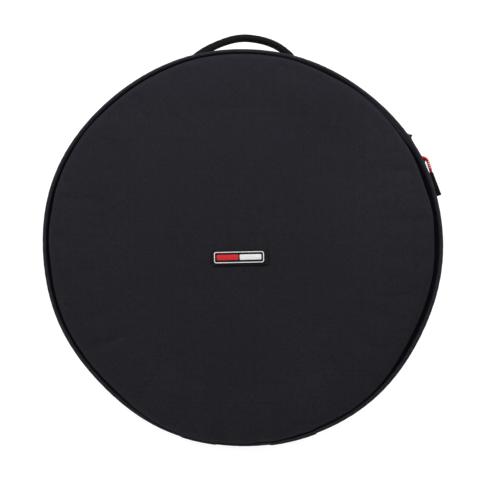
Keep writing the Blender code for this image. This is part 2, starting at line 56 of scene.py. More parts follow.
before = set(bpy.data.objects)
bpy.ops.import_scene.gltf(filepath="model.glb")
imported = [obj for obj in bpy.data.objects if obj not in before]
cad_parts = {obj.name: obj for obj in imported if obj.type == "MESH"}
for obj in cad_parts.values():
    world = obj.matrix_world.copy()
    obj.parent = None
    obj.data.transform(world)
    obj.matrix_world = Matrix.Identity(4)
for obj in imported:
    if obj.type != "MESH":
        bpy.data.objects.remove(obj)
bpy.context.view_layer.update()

# Heights and radii of the solids
WALL_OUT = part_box("wall_shell")[1].x
WALL_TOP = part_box("wall_shell")[1].z
FOAM_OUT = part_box("wall_foam")[1].x
FOAM_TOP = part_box("wall_foam")[1].z
LINING_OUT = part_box("wall_lining")[1].x
PIPING_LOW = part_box("lid_piping")[0].z
BASE_PIPING_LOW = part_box("base_piping")[0].z
BAND_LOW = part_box("lid_band_shell")[0].z
BAND_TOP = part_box("lid_band_shell")[1].z
LID_PAD_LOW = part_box("lid_foam")[0].z
LID_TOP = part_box("lid_foam")[1].z
LID_FOAM_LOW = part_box("lid_band_foam")[0].z
LID_FOAM_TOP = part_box("lid_band_foam")[1].z
ZIP_LINE = (FOAM_TOP + LID_FOAM_LOW) / 2

# The gap between layers, their thicknesses, and radii that follow from them
CLEARANCE = 0.0003
CLOTH = 0.0012
LINING = 0.0012
TAPE = 0.001
PIPING_RADIUS = 0.0022
TRIM_IN = WALL_OUT + CLEARANCE
TRIM_OUT = TRIM_IN + CLOTH
TAPE_OUT = WALL_OUT - 0.0002
LINING_IN = LINING_OUT - LINING
BINDING_IN = LINING_IN - CLEARANCE - TAPE
PIPING_LINE = TRIM_IN + PIPING_RADIUS
# How far the bindings reach over the foam, and the radius over the zip's teeth
BINDING_DROP = 0.015
TEETH_OUT = 0.239
# The lid's top: radius of its roll, its padding's height there, and the share that is level
LID_ROLL = 0.229
LID_PAD_RIM = 0.437
LID_FLAT = 0.25
HANDLE_HEIGHT = 0.225
# Heights between which the wall's cloth is free, from the base's seam to the zip's
WALL_FOOT, WALL_HEAD = 0.008, 0.352

TURN = 2 * math.pi
RING_STEPS = 480
# Where the rings of a round sheet end: the small circle at its middle is one face
SHEET_MIDDLE = 0.012
ZIP_START = math.radians(114)
ZIP_END = math.radians(432)
HINGE_START = math.radians(72)
HINGE_END = math.radians(114)
BACK_SEAM = math.radians(90), math.radians(96)
SLIDER_A = math.radians(206.8)
SLIDER_B = math.radians(213.5)

# The lid's outline leaves its circle by these waves: turns, then cosine and sine share in mm
LID_WAVES = (
    (0, 0.25, 0.0),
    (1, -0.06, 0.14),
    (2, 0.88, -0.72),
    (3, 0.42, -0.82),
    (4, 0.43, 0.08),
    (5, 0.14, -0.62),
    (6, -0.04, 0.17),
    (7, -0.34, 0.12),
    (8, -0.24, -0.1),
    (9, -0.18, 0.07),
    (10, -0.01, -0.15),
)
# Where the lid's edge is folded double: from and to in degrees, and how far it stands out in mm
LID_FOLDS = ((72.0, 82.0, 0.8), (98.0, 111.4, 1.1))
# The wall's swell: turns, waves per metre of height, phase, height in mm
WALL_WAVES = (
    (2, 2.4, 0.5, 1.3),
    (3, 4.0, 2.1, 1.0),
    (5, 6.5, 4.0, 0.8),
    (7, -9.0, 0.4, 0.55),
    (9, 12.0, 1.2, 0.4),
    (14, -17.0, 3.3, 0.22),
    (19, 26.0, 5.1, 0.14),
)
SEAM_ROWS = (0.010, 0.352, 0.396, 0.424)
# Width in mm of the groove between the lid's piping and its padded top, by angle in degrees
GROOVE = (
    (0, 2.5), (6, 3.3), (15, 2.2), (30, 2.0), (40, 1.3), (46, 1.8), (54, 0.6), (70, 0.3),
    (95, 0.3), (112, 0.6), (127, 0.6), (135, 1.9), (143, 4.2), (152, 5.5), (161, 5.2),
    (172, 4.9), (183, 5.9), (190, 3.9), (200, 6.3), (207, 4.3), (216, 3.3), (224, 2.2), (230, 1.0),
    (236, 0.8), (242, 2.3), (247, 2.0), (256, 0.6), (286, 0.6), (293, 1.3), (303, 1.0), (313, 1.5),
    (322, 0.6), (333, 1.7), (344, 2.6), (351, 3.2), (356, 1.7),
)
# Faint creases of the lid: x and y, heading in degrees, length, width and depth
LID_CREASES = (
    (-0.214, -0.034, 62, 0.022, 0.0035, 0.0005),
    (-0.206, 0.019, 108, 0.030, 0.0040, 0.0006),
    (-0.219, 0.010, 80, 0.018, 0.0030, 0.0004),
    (0.205, -0.060, 70, 0.024, 0.0045, 0.0004),
    (0.120, 0.178, 150, 0.030, 0.0050, 0.0004),
    (-0.150, 0.158, 40, 0.026, 0.0045, 0.0004),
)

BADGE = (0.0048, 0.0121)
BADGE_TURN = math.radians(1.25)

FINISHES = {}
# How far the wall's cloth moves out, by angle and height, once its folds are simulated
FOLDS = {"out": np.zeros((4, 2)), "low": 0.004, "high": 0.36}
# Points round and up the wall's simulated cloth, and how often its moves are smoothed
FOLD_GRID, FOLD_SMOOTHINGS = (240, 57), 3


def ease(share):
    """Ease a share from 0 to 1 with level ends."""
    share = np.clip(share, 0, 1)
    return share * share * (3 - 2 * share)


def lid_outline(angle):
    """How far the lid's edge leaves its circle at an angle."""
    waves = sum(c * np.cos(k * angle) + s * np.sin(k * angle) for k, c, s in LID_WAVES)
    for start, end, size in LID_FOLDS:
        middle, half = (start + end) / 2, (end - start) / 2
        waves = waves + size * ease((half + 0.6 - np.abs(off(angle, middle))) / 0.9)
    return (waves - 0.6 * bump(angle, 270, 12)) / 1000


def wall_swell(angle, height):
    """How far the padded wall swells in or out at an angle and height."""
    return sum(
        size * np.sin(k * angle + rate * TURN * height + phase)
        for k, rate, phase, size in WALL_WAVES
    ) / 1000


def off(angle, degrees):
    """Signed angle from a place round the bag, in degrees."""
    return (np.degrees(angle) - degrees + 180) % 360 - 180


def bump(angle, degrees, width, power=2):
    """A smooth bump of height one at a place round the bag."""
    return np.exp(-np.abs(off(angle, degrees) / width) ** power)


def at_handle(angle, height, width, rise):
    """One on the wall behind the handle, easing to none beyond a width in degrees and a rise."""
    return bump(angle, 270, width, 6) * np.exp(-(((height - HANDLE_HEIGHT) / rise) ** 4))


def wall_folds(angle, height):
    """How far the simulated folds of the wall's cloth stand out at an angle and height."""
    out = FOLDS["out"]
    turns, levels = out.shape
    i = np.asarray(angle / TURN % 1.0 * turns)
    j = np.clip((height - FOLDS["low"]) / (FOLDS["high"] - FOLDS["low"]), 0, 1) * (levels - 1)
    left, low = np.floor(i).astype(int) % turns, np.minimum(np.floor(j).astype(int), levels - 2)
    right, u, v = (left + 1) % turns, i % 1.0, j - low
    lower = out[left, low] * (1 - u) + out[right, low] * u
    upper = out[left, low + 1] * (1 - u) + out[right, low + 1] * u
    return (lower * (1 - v) + upper * v) * ((height > FOLDS["low"]) & (height < FOLDS["high"]))


def pucker(angle, height):
    """Small gathers of the cloth beside its sewn seams."""
    rows = sum(np.exp(-(((height - seam) / 0.007) ** 2)) for seam in SEAM_ROWS)
    gathers = np.sin(96 * angle + 3 * np.sin(5 * angle)) + 0.6 * np.sin(61 * angle + 1.3)
    return rows * gathers * 0.00022


def soften(points):
    """Move points of the round body with the cloth's soft outline. The zip's circle stays."""
    points = np.asarray(points, float)
    x, y, z = np.moveaxis(points, -1, 0)
    radius = np.hypot(x, y)
    angle = np.arctan2(y, x)
    lid = lid_outline(angle) * ease((z - 0.388) / 0.043)
    near_handle = at_handle(angle, z, 39, 0.07)
    wall = wall_swell(angle, z) * ease((z - WALL_FOOT) / 0.09) * ease((WALL_HEAD - z) / 0.09)
    wall = wall + wall_folds(angle, z)
    band = 0.0006 * ease((z - 0.390) / 0.014) * ease((0.431 - z) / 0.014)
    push = lid + wall * (1 - near_handle) + band + pucker(angle, z) * (1 - bump(angle, 90, 30, 6))
    grow = 1 + push * ease((radius - 0.1) / 0.12) / np.maximum(radius, 0.001)
    return np.stack([x * grow, y * grow, z], axis=-1)


def polar(radius, angle, height):
    """Points from a radius, an angle and a height."""
    radius, angle, height = np.broadcast_arrays(radius, angle, height)
    return np.stack([radius * np.cos(angle), radius * np.sin(angle), height], axis=-1)


def lengths(line, closed):
    """Length along a line up to each of its points, and up to its start again if closed."""
    if closed:
        line = np.concatenate([line, line[:1]])
    steps = np.linalg.norm(np.diff(line, axis=0), axis=1)
    return np.concatenate([[0], np.cumsum(steps)])


def spaced(line, spacing, closed):
    """Points along a line, with more of them where it has long straight runs."""
    ends = np.concatenate([line, line[:1]]) if closed else line
    made = []
    for near, far in zip(ends, ends[1:]):
        count = max(1, math.ceil(np.linalg.norm(far - near) / spacing - 0.001))
        made += [near + (far - near) * step / count for step in range(count)]
    if not closed:
        made.append(line[-1])
    return np.array(made)


def rounded(corners, radius, spacing=0.006, closed=True, steps=3):
    """An outline with its corners rounded."""
    corners = np.asarray(corners, float)
    line = []
    for index, corner in enumerate(corners):
        if not closed and index in (0, len(corners) - 1):
            line.append(corner)
            continue
        before = corners[index - 1] - corner
        after = corners[(index + 1) % len(corners)] - corner
        sizes = np.linalg.norm(before), np.linalg.norm(after)
        reach = min(radius, sizes[0] / 2.1, sizes[1] / 2.1)
        first = corner + before / sizes[0] * reach
        last = corner + after / sizes[1] * reach
        for share in np.linspace(0, 1, steps + 1):
            rest = 1 - share
            line.append(rest**2 * first + 2 * share * rest * corner + share**2 * last)
    return spaced(np.array(line), spacing, closed)


def block(inner, outer, low, high, radius=0.0005, spacing=0.006):
    """The rounded outline of a band between two radii and two heights."""
    corners = [(inner, low), (outer, low), (outer, high), (inner, high)]
    return rounded(corners, radius, spacing)


def circle(radius, sides):
    """A circle's outline about the origin."""
    angle = TURN * np.arange(sides) / sides
    return np.stack([radius * np.cos(angle), radius * np.sin(angle)], 1)


def smooth_path(points, spacing):
    """Points evenly spaced along a smooth curve through some points."""
    points = np.asarray(points, float)
    before, after = 2 * points[:1] - points[1:2], 2 * points[-1:] - points[-2:-1]
    padded = np.concatenate([before, points, after])
    share = np.linspace(0, 1, 12, endpoint=False)[:, None]
    line = []
    for a, b, c, d in zip(padded, padded[1:], padded[2:], padded[3:]):
        line.append(
            0.5
            * (
                2 * b
                + (c - a) * share
                + (2 * a - 5 * b + 4 * c - d) * share**2
                + (3 * b - a - 3 * c + d) * share**3
            )
        )
    line = np.concatenate([*line, points[-1:]])
    along = lengths(line, False)
    at = np.linspace(0, along[-1], max(2, round(along[-1] / spacing)) + 1)
    return np.stack([np.interp(at, along, line[:, axis]) for axis in range(3)], axis=1)


def unit(vectors):
    """Vectors scaled to a length of one."""
    size = np.linalg.norm(vectors, axis=-1, keepdims=True)
    return vectors / np.maximum(size, 1e-9)


def turned(outline, start=0.0, end=TURN, steps=RING_STEPS):
    """A grid of an outline of (radius, height) points turned about the bag's axis."""
    whole = end - start > TURN - 0.0001
    count = max(3, round(steps * (end - start) / TURN))
    angles = start + (end - start) * np.arange(count if whole else count + 1) / count
    radius, height = np.asarray(outline, float).T
    return soften(polar(radius[None], angles[:, None], height[None]))


def swept(path, section, up, closed=False):
    """A grid of a flat section carried along a path, its second value along up."""
    path = np.asarray(path, float)
    if closed:
        tangent = unit(np.roll(path, -1, axis=0) - np.roll(path, 1, axis=0))
    else:
        tangent = unit(np.gradient(path, axis=0))
    side = unit(np.cross(tangent, np.broadcast_to(up, path.shape)))
    rise = np.cross(side, tangent)
    section = np.asarray(section, float)
    if section.ndim == 2:
        section = np.broadcast_to(section, (len(path), *section.shape))
    return (
        path[:, None] + section[..., :1] * side[:, None] + section[..., 1:] * rise[:, None]
    )


class Shape:
    """Points, faces and cloth places of a piece while it is put together."""

    def __init__(self):
        """Start with nothing."""
        self.points, self.faces, self.places, self.count = [], [], [], 0

    def add(self, points, faces, places):
        """Add points, the faces between them and the cloth place of each face corner."""
        self.faces += [[corner + self.count for corner in face] for face in faces]
        self.points.append(np.asarray(points, float))
        self.places.append(np.asarray(places, float))
        self.count += len(points)
        return self

    def grid(self, grid, ring=False, tube=True, flat=False):
        """Skin a grid of points. Its rows close if ring and its columns if tube."""
        rows, columns = grid.shape[:2]
        points = grid.reshape(-1, 3)
        i, j = np.indices((rows if ring else rows - 1, columns if tube else columns - 1))
        i, j = i.ravel(), j.ravel()
        near, far = i * columns, (i + 1) % rows * columns
        beside = (j + 1) % columns
        faces = np.stack([near + j, far + j, far + beside, near + beside], axis=1)
        along = lengths(grid.mean(axis=1), ring)
        across = lengths(grid[rows // 2], tube)
        places = np.stack(
            [
                np.stack([along[i], along[i + 1], along[i + 1], along[i]], axis=1),
                np.stack([across[j], across[j], across[j + 1], across[j + 1]], axis=1),
            ],
            axis=-1,
        )
        order = np.arange(rows * columns).reshape(rows, columns)
        caps = []
        if tube and not ring:
            caps = [order[0], order[-1][::-1]]
        elif ring and not tube:
            caps = [order[::-1, 0], order[:, -1]]
        middle = points - points.mean(axis=0)
        a, b, c, d = (middle[faces[:, corner]] for corner in range(4))
        volume = np.sum(a * np.cross(b, c)) + np.sum(a * np.cross(c, d))
        if volume < 0:
            faces, places, caps = faces[:, ::-1], places[:, ::-1], [cap[::-1] for cap in caps]
        if flat:
            places = points[faces][..., :2]
        places = places.reshape(-1, 2)
        if caps:
            x, y, z = points[np.concatenate(caps)].T
            places = np.concatenate([places, np.stack([x, y] if flat else [x + y, z], axis=1)])
        return self.add(points, faces.tolist() + [cap.tolist() for cap in caps], places)

    def copies(self, template, origins, along, side, up):
        """Add a small shape many times, each at its origin and turned to its three axes."""
        points, faces = template
        axes = np.stack([along, side, up], axis=1)
        spots = origins[:, None] + np.einsum("pa,nac->npc", points, axes)
        size = len(points)
        corners = np.concatenate([np.asarray(face) for face in faces])
        for origin in range(len(origins)):
            self.faces += [
                [corner + self.count + origin * size for corner in face] for face in faces
            ]
        self.points.append(spots.reshape(-1, 3))
        self.places.append(np.tile(points[corners][:, :2] * 0.004, (len(origins), 1)))
        self.count += size * len(origins)
        return self

    def piece(self, name, finish, body, slot, stands_for=(), sharp=40):
        """Turn what was put together into an object that rides on a body when it is given one body
        by name; given more, it is left where it was made.
        """
        absent = [node for node in stands_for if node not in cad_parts]
        if absent:
            raise RuntimeError(f"{name} stands for solids that the frame lacks: {absent}")
        if finish not in FINISHES:
            raise RuntimeError(f"{name} needs the finish {finish}, which isn't made yet")
        mesh = bpy.data.meshes.new(name)
        mesh.from_pydata(np.concatenate(self.points).tolist(), [], self.faces)
        layer = mesh.uv_layers.new(name="cloth")
        layer.data.foreach_set("uv", np.concatenate(self.places).astype(np.float32).ravel())
        mesh.shade_smooth()
        mesh.set_sharp_from_angle(angle=math.radians(sharp))
        mesh.materials.append(FINISHES[finish])
        made = bpy.data.objects.new(name, mesh)
        bpy.context.scene.collection.objects.link(made)
        if stands_for:
            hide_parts(*stands_for)
        if isinstance(body, str):
            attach(made, body)
        else:
            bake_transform(made)
        return made


def ring_piece(name, outline, finish, body, slot, stands_for=(), **turn):
    """A piece whose outline is turned all the way round, or from a start to an end angle."""
    whole = "end" not in turn
    return Shape().grid(turned(outline, **turn), ring=whole).piece(
        name, finish, body, slot, stands_for
    )


def spindle(rings, sides):
    """A small closed shape along its first axis, from (place, radius, rise) rings."""
    points = []
    for place, radius, rise in rings:
        for y, z in circle(radius, sides):
            points.append((place, y, z + rise))
    faces = []
    for ring in range(len(rings) - 1):
        for side in range(sides):
            near, beside = ring * sides + side, ring * sides + (side + 1) % sides
            faces.append((near, beside, beside + sides, near + sides))
    faces.append(tuple(range(sides)))
    faces.append(tuple(range((len(rings) - 1) * sides, len(rings) * sides)))
    return orient(np.array(points), faces)


def orient(points, faces):
    """A closed template with every face looking out."""
    middle = points.mean(axis=0)
    turned_out = []
    for face in faces:
        corners = points[list(face)] - middle
        normal = sum(
            np.cross(corners[k], corners[(k + 1) % len(face)]) for k in range(len(face))
        )
        outwards = np.dot(normal, corners.mean(axis=0)) > 0
        turned_out.append(tuple(face) if outwards else tuple(face)[::-1])
    return points, turned_out


STITCH = spindle(
    [(-0.5, 0.3, -0.9), (-0.36, 0.85, -0.1), (0, 1.0, 0.25), (0.36, 0.85, -0.1), (0.5, 0.3, -0.9)],
    6,
)
# The share of its pitch that a stitch fills
STITCH_SHARE = 0.84
chance = np.random.default_rng(11)


def sew(shape, line, normals, closed=False):
    """Sew a row of stitches along a line that lies on a surface with these normals."""
    sizes = bpy.context.scene.bag_sizes
    pitch = sizes.stitch_pitch
    along = lengths(line, closed)
    if closed:
        line, normals = np.concatenate([line, line[:1]]), np.concatenate([normals, normals[:1]])
    count = max(1, round(along[-1] / pitch))
    at = (np.arange(count) + 0.5) * along[-1] / count

    def sample(values, where):
        """Points between a line's own, by their lengths along it."""
        return np.stack([np.interp(where, along, values[:, axis]) for axis in range(3)], axis=1)

    half = 0.4 * pitch
    tangent = unit(sample(line, at + half) - sample(line, at - half))
    normal = unit(sample(normals, at))
    side = unit(np.cross(normal, tangent))
    sway = chance.normal(0, 0.05, (count, 1))
    tangent = unit(tangent + side * sway)
    side = unit(np.cross(normal, tangent))
    size = chance.normal(1, 0.04, (count, 1))
    radius = sizes.thread / 2
    shape.copies(
        STITCH,
        sample(line, at) + normal * (0.25 * radius),
        tangent * pitch * STITCH_SHARE * size,
        side * radius,
        normal * radius,
    )
    return shape


def round_row(shape, radius, height, start=0.0, end=TURN, outwards=1.0):
    """Sew a row round the bag at a radius and height."""
    whole = end - start > TURN - 0.0001
    count = round(RING_STEPS * 1.5 * (end - start) / TURN) + 2
    angles = np.linspace(start, end, count, endpoint=not whole)
    line = soften(polar(radius, angles, height))
    return sew(shape, line, polar(outwards, angles, 0.0), closed=whole)


def wall_rows(shape, radius, paths):
    """Sew rows on the round wall, each path a list of (angle, height) corners."""
    for path in paths:
        corners = np.array([(angle * radius, height) for angle, height in path])
        corners = spaced(corners, 0.003, False)
        angles, heights = corners[:, 0] / radius, corners[:, 1]
        sew(shape, soften(polar(radius, angles, heights)), polar(1.0, angles, 0.0))
    return shape


def box_rows(start, end, low, high, cross=True):
    """Corner paths of a sewn box on the wall, with a cross in it."""
    paths = [[(start, low), (end, low), (end, high), (start, high), (start, low)]]
    if cross:
        paths += [[(start, low), (end, high)], [(start, high), (end, low)]]
    return paths


def add(tree, kind, feeds=(), **options):
    """Add a shader node, set its options and feed its inputs with values or other sockets."""
    made = tree.nodes.new("ShaderNode" + kind)
    for option, value in options.items():
        setattr(made, option, value)
    for place, value in dict(feeds).items():
        if isinstance(value, bpy.types.NodeSocket):
            tree.links.new(value, made.inputs[place])
        else:
            made.inputs[place].default_value = value
    return made


def maths(tree, operation, *values):
    """The result of a maths node on values or sockets."""
    return add(tree, "Math", dict(enumerate(values)), operation=operation).outputs[0]


def vectors(tree, operation, **feeds):
    """The result of a vector maths node."""
    named = {"a": 0, "b": 1, "Scale": "Scale"}
    feeds = {named[name]: value for name, value in feeds.items()}
    return add(tree, "VectorMath", feeds, operation=operation).outputs[0]


def blend_colours(tree, share, first, second):
    """The colour between two colours at a share."""
    feeds = {0: share, 6: first, 7: second}
    return add(tree, "Mix", feeds, data_type="RGBA").outputs[2]


def between(tree, value, low, high, to_low=0.0, to_high=1.0):
    """A value moved from one range to another and kept inside it."""
    feeds = {"Value": value, "From Min": low, "From Max": high}
    feeds |= {"To Min": to_low, "To Max": to_high}
    return add(tree, "MapRange", feeds).outputs["Result"]


def new_group(name, inputs, outputs):
    """A node group with named inputs and outputs, each (name, kind, default)."""
    tree = bpy.data.node_groups.new(name, "ShaderNodeTree")
    for label, kind, default in inputs:
        socket = tree.interface.new_socket(label, in_out="INPUT", socket_type="NodeSocket" + kind)
        if default is not None:
            socket.default_value = default
    for label, kind in outputs:
        tree.interface.new_socket(label, in_out="OUTPUT", socket_type="NodeSocket" + kind)
    return tree, tree.nodes.new("NodeGroupInput").outputs, tree.nodes.new("NodeGroupOutput").inputs


PATTERN_INPUTS = (("Place", "Vector", None), ("Pitch", "Float", 0.0006))
# Each pattern gives a height for its bumps and a tone for its colour; in the thread and foam
# patterns the tone follows the height, so dips are darker: painted shade
PATTERN_OUTPUTS = (("Height", "Float"), ("Tone and painted shade", "Float"))


def in_threads(tree, given):
    """The place on a pattern in threads, and its x and y."""
    threads = maths(tree, "DIVIDE", 1.0, given["Pitch"])
    place = vectors(tree, "SCALE", a=given["Place"], Scale=threads)
    split = add(tree, "SeparateXYZ", {0: place})
    return place, split.outputs[0], split.outputs[1]


def hump(tree, value):
    """The rounded top of a thread that is one unit wide."""
    return maths(tree, "ABSOLUTE", maths(tree, "SINE", maths(tree, "MULTIPLY", value, math.pi)))


def thread_tone(tree, value):
    """A shade of its own for each thread."""
    noise = add(tree, "TexWhiteNoise", {"W": maths(tree, "FLOOR", value)}, noise_dimensions="1D")
    return between(tree, noise.outputs["Value"], 0.0, 1.0, 0.75, 1.0)


def make_weave():
    """Plain weave: threads that pass over and under each other. Their colour is darker where they
    dip, a painted shade between the threads, times a real tone of each thread's own.
    """
    tree, given, wanted = new_group("Plain weave", PATTERN_INPUTS, PATTERN_OUTPUTS)
    place, x, y = in_threads(tree, given)
    over = add(tree, "TexChecker", {0: vectors(tree, "ADD", a=place, b=(0.0, 0.0, 0.5)), 3: 1.0})
    over = over.outputs["Fac"]
    up, across = hump(tree, x), hump(tree, y)
    warp = maths(tree, "MULTIPLY", up, maths(tree, "MULTIPLY_ADD", across, 0.5, 0.5))
    weft = maths(tree, "MULTIPLY", across, maths(tree, "MULTIPLY_ADD", up, 0.5, 0.5))
    height = add(tree, "Mix", {0: over, 2: warp, 3: weft}).outputs[0]
    tone = add(tree, "Mix", {0: over, 2: thread_tone(tree, x), 3: thread_tone(tree, y)}).outputs[0]
    tree.links.new(height, wanted["Height"])
    tree.links.new(maths(tree, "MULTIPLY", height, tone), wanted["Tone and painted shade"])


def make_ribs():
    """Ribbed tape and webbing: ribs across, and a finer run of threads along. Their colour is
    darker between the ribs, a painted shade.
    """
    tree, given, wanted = new_group("Ribbed webbing", PATTERN_INPUTS, PATTERN_OUTPUTS)
    _, x, y = in_threads(tree, given)
    half = maths(tree, "MULTIPLY", maths(tree, "FLOOR", maths(tree, "MULTIPLY", y, 0.5)), 0.5)
    rib = hump(tree, maths(tree, "ADD", x, half))
    thread = hump(tree, maths(tree, "MULTIPLY", y, 0.5))
    height = maths(tree, "MULTIPLY", maths(tree, "MULTIPLY_ADD", thread, 0.7, 0.3), rib)
    tree.links.new(height, wanted["Height"])
    tone = thread_tone(tree, maths(tree, "MULTIPLY", y, 0.5))
    tree.links.new(maths(tree, "MULTIPLY", height, tone), wanted["Tone and painted shade"])


def make_twill():
    """Herringbone tape of a zip, its colour darker between the threads as painted shade."""
    tree, given, wanted = new_group("Herringbone tape", PATTERN_INPUTS, PATTERN_OUTPUTS)
    _, x, y = in_threads(tree, given)
    fold = maths(tree, "PINGPONG", y, 3.0)
    height = hump(tree, maths(tree, "ADD", x, fold))
    tree.links.new(height, wanted["Height"])
    tree.links.new(maths(tree, "MULTIPLY", height, thread_tone(tree, x)), wanted["Tone and painted shade"])


def make_braid():
    """Braided cord: two sets of strands that cross on the slant, its colour darker where they dip
    as painted shade.
    """
    tree, given, wanted = new_group("Braided cord", PATTERN_INPUTS, PATTERN_OUTPUTS)
    _, x, y = in_threads(tree, given)
    right = hump(tree, maths(tree, "ADD", x, y))
    left = hump(tree, maths(tree, "SUBTRACT", x, y))
    height = maths(tree, "MAXIMUM", maths(tree, "MULTIPLY", right, right), left)
    tree.links.new(height, wanted["Height"])
    tree.links.new(maths(tree, "MULTIPLY", right, left), wanted["Tone and painted shade"])


def make_grain():
    """Fine moulded grain of rubber, paint and board."""
    tree, _, wanted = new_group("Moulded grain", PATTERN_INPUTS, PATTERN_OUTPUTS)
    where = add(tree, "TexCoord").outputs["Object"]
    cells = add(tree, "TexVoronoi", {"Vector": where, "Scale": 1500.0})
    noise = add(tree, "TexNoise", {"Vector": where, "Scale": 700.0, "Detail": 3.0})
    height = maths(tree, "MULTIPLY", cells.outputs["Distance"], noise.outputs[0])
    tree.links.new(height, wanted["Height"])
    tree.links.new(noise.outputs[0], wanted["Tone and painted shade"])


def make_foam():
    """Open cells of cut foam, their colour darker in the pits as painted shade."""
    tree, _, wanted = new_group("Foam cells", PATTERN_INPUTS, PATTERN_OUTPUTS)
    where = add(tree, "TexCoord").outputs["Object"]
    cells = add(tree, "TexVoronoi", {"Vector": where, "Scale": 700.0})
    tree.links.new(cells.outputs["Distance"], wanted["Height"])
    tree.links.new(cells.outputs["Distance"], wanted["Tone and painted shade"])


def make_tone():
    """Slow change of tone over a surface, about a value of one."""
    inputs = (("Scale", "Float", 6.0), ("Amount", "Float", 0.1))
    tree, given, wanted = new_group("Slow tone", inputs, (("Tone", "Float"), ("Height", "Float")))
    where = add(tree, "TexCoord").outputs["Object"]
    broad = add(tree, "TexNoise", {"Vector": where, "Scale": given["Scale"], "Detail": 3.0})
    fine = add(tree, "TexNoise", {"Vector": where, "Scale": 430.0, "Detail": 2.0})
    both = maths(tree, "MULTIPLY_ADD", fine.outputs[0], 4.4, broad.outputs[0])
    shift = maths(tree, "MULTIPLY", maths(tree, "SUBTRACT", both, 2.7), given["Amount"])
    tree.links.new(maths(tree, "ADD", shift, 1.0), wanted["Tone"])
    tree.links.new(broad.outputs[0], wanted["Height"])


def make_wear():
    """Wear on raised edges, broken up by noise."""
    tree, given, wanted = new_group("Edge wear", (("Amount", "Float", 0.3),), (("Mask", "Float"),))
    raised = between(tree, add(tree, "NewGeometry").outputs["Pointiness"], 0.505, 0.56)
    where = add(tree, "TexCoord").outputs["Object"]
    noise = add(tree, "TexNoise", {"Vector": where, "Scale": 140.0, "Detail": 4.0})
    broken = between(tree, noise.outputs[0], 0.42, 0.62)
    mask = maths(tree, "MULTIPLY", maths(tree, "MULTIPLY", raised, broken), given["Amount"])
    tree.links.new(mask, wanted["Mask"])


def make_dust():
    """Lint and dust that lie thinly on cloth."""
    inputs = (("Amount", "Float", 0.1), ("Scale", "Float", 300.0))
    tree, given, wanted = new_group("Lint and dust", inputs, (("Mask", "Float"),))
    where = add(tree, "TexCoord").outputs["Object"]
    specks = add(tree, "TexNoise", {"Vector": where, "Scale": given["Scale"], "Detail": 5.0})
    patches = add(tree, "TexNoise", {"Vector": where, "Scale": 9.0, "Detail": 3.0})
    both = maths(tree, "MULTIPLY", specks.outputs[0], patches.outputs[0])
    mask = maths(tree, "MULTIPLY", between(tree, both, 0.24, 0.42), given["Amount"])
    tree.links.new(mask, wanted["Mask"])


def grouped(tree, name, **feeds):
    """A node group in a material, with its inputs fed."""
    made = tree.nodes.new("ShaderNodeGroup")
    made.node_tree = bpy.data.node_groups[name]
    for label, value in feeds.items():
        if isinstance(value, bpy.types.NodeSocket):
            tree.links.new(value, made.inputs[label])
        else:
            made.inputs[label].default_value = value
    return made.outputs


def finish(
    name,
    colour,
    kind,
    pitch=0.0006,
    depth=0.00012,
    roughness=(0.8, 0.92),
    contrast=(0.75, 1.3),
    specular=0.15,
    wear=0.25,
    worn=None,
    dust=0.1,
    tone=0.25,
    metal=None,
):
    """A finish: a thread or grain pattern, with painted shade where the threads dip, slow tone,
    worn edges and a little dust.
    """
    made = bpy.data.materials.new(name)
    made.use_nodes = True
    made.diffuse_color = (*colour, 1.0)
    tree = made.node_tree
    shader = tree.nodes["Principled BSDF"]
    shader.inputs["Specular IOR Level"].default_value = specular
    place = add(tree, "UVMap", uv_map="cloth").outputs[0]
    threads = grouped(tree, kind, Place=place, Pitch=pitch)
    slow = grouped(tree, "Slow tone", Scale=7.0, Amount=tone)
    rubbed = grouped(tree, "Edge wear", Amount=wear)["Mask"]
    lint = grouped(tree, "Lint and dust", Amount=dust)["Mask"]
    dark = [channel * contrast[0] for channel in colour]
    pale = [channel * contrast[1] for channel in colour]
    # Painted shade: the base colour goes from dark to pale with the pattern's tone, which is low
    # where threads and cells dip
    base = blend_colours(tree, threads["Tone and painted shade"], (*dark, 1), (*pale, 1))
    base = add(tree, "VectorMath", {0: base, "Scale": slow["Tone"]}, operation="SCALE").outputs[0]
    if worn is None:
        worn = [min(1.0, channel * 2.4 + 0.01) for channel in colour]
    base = blend_colours(tree, rubbed, base, (*worn, 1))
    base = blend_colours(tree, lint, base, (0.16, 0.155, 0.15, 1))
    tree.links.new(base, shader.inputs["Base Color"])
    low, high = roughness
    rough = between(tree, slow["Tone"], 0.85, 1.15, low, high)
    tree.links.new(rough, shader.inputs["Roughness"])
    if metal is not None:
        bare = between(tree, rubbed, 0.0, max(wear, 0.01), metal, 1.0)
        tree.links.new(bare, shader.inputs["Metallic"])
    relief = add(tree, "Bump", {"Strength": 1.0, "Distance": depth, "Height": threads["Height"]})
    tree.links.new(relief.outputs[0], shader.inputs["Normal"])
    FINISHES[name] = made


EFFECTS = (
    make_weave, make_ribs, make_twill, make_braid, make_grain, make_foam, make_tone, make_wear,
    make_dust,
)


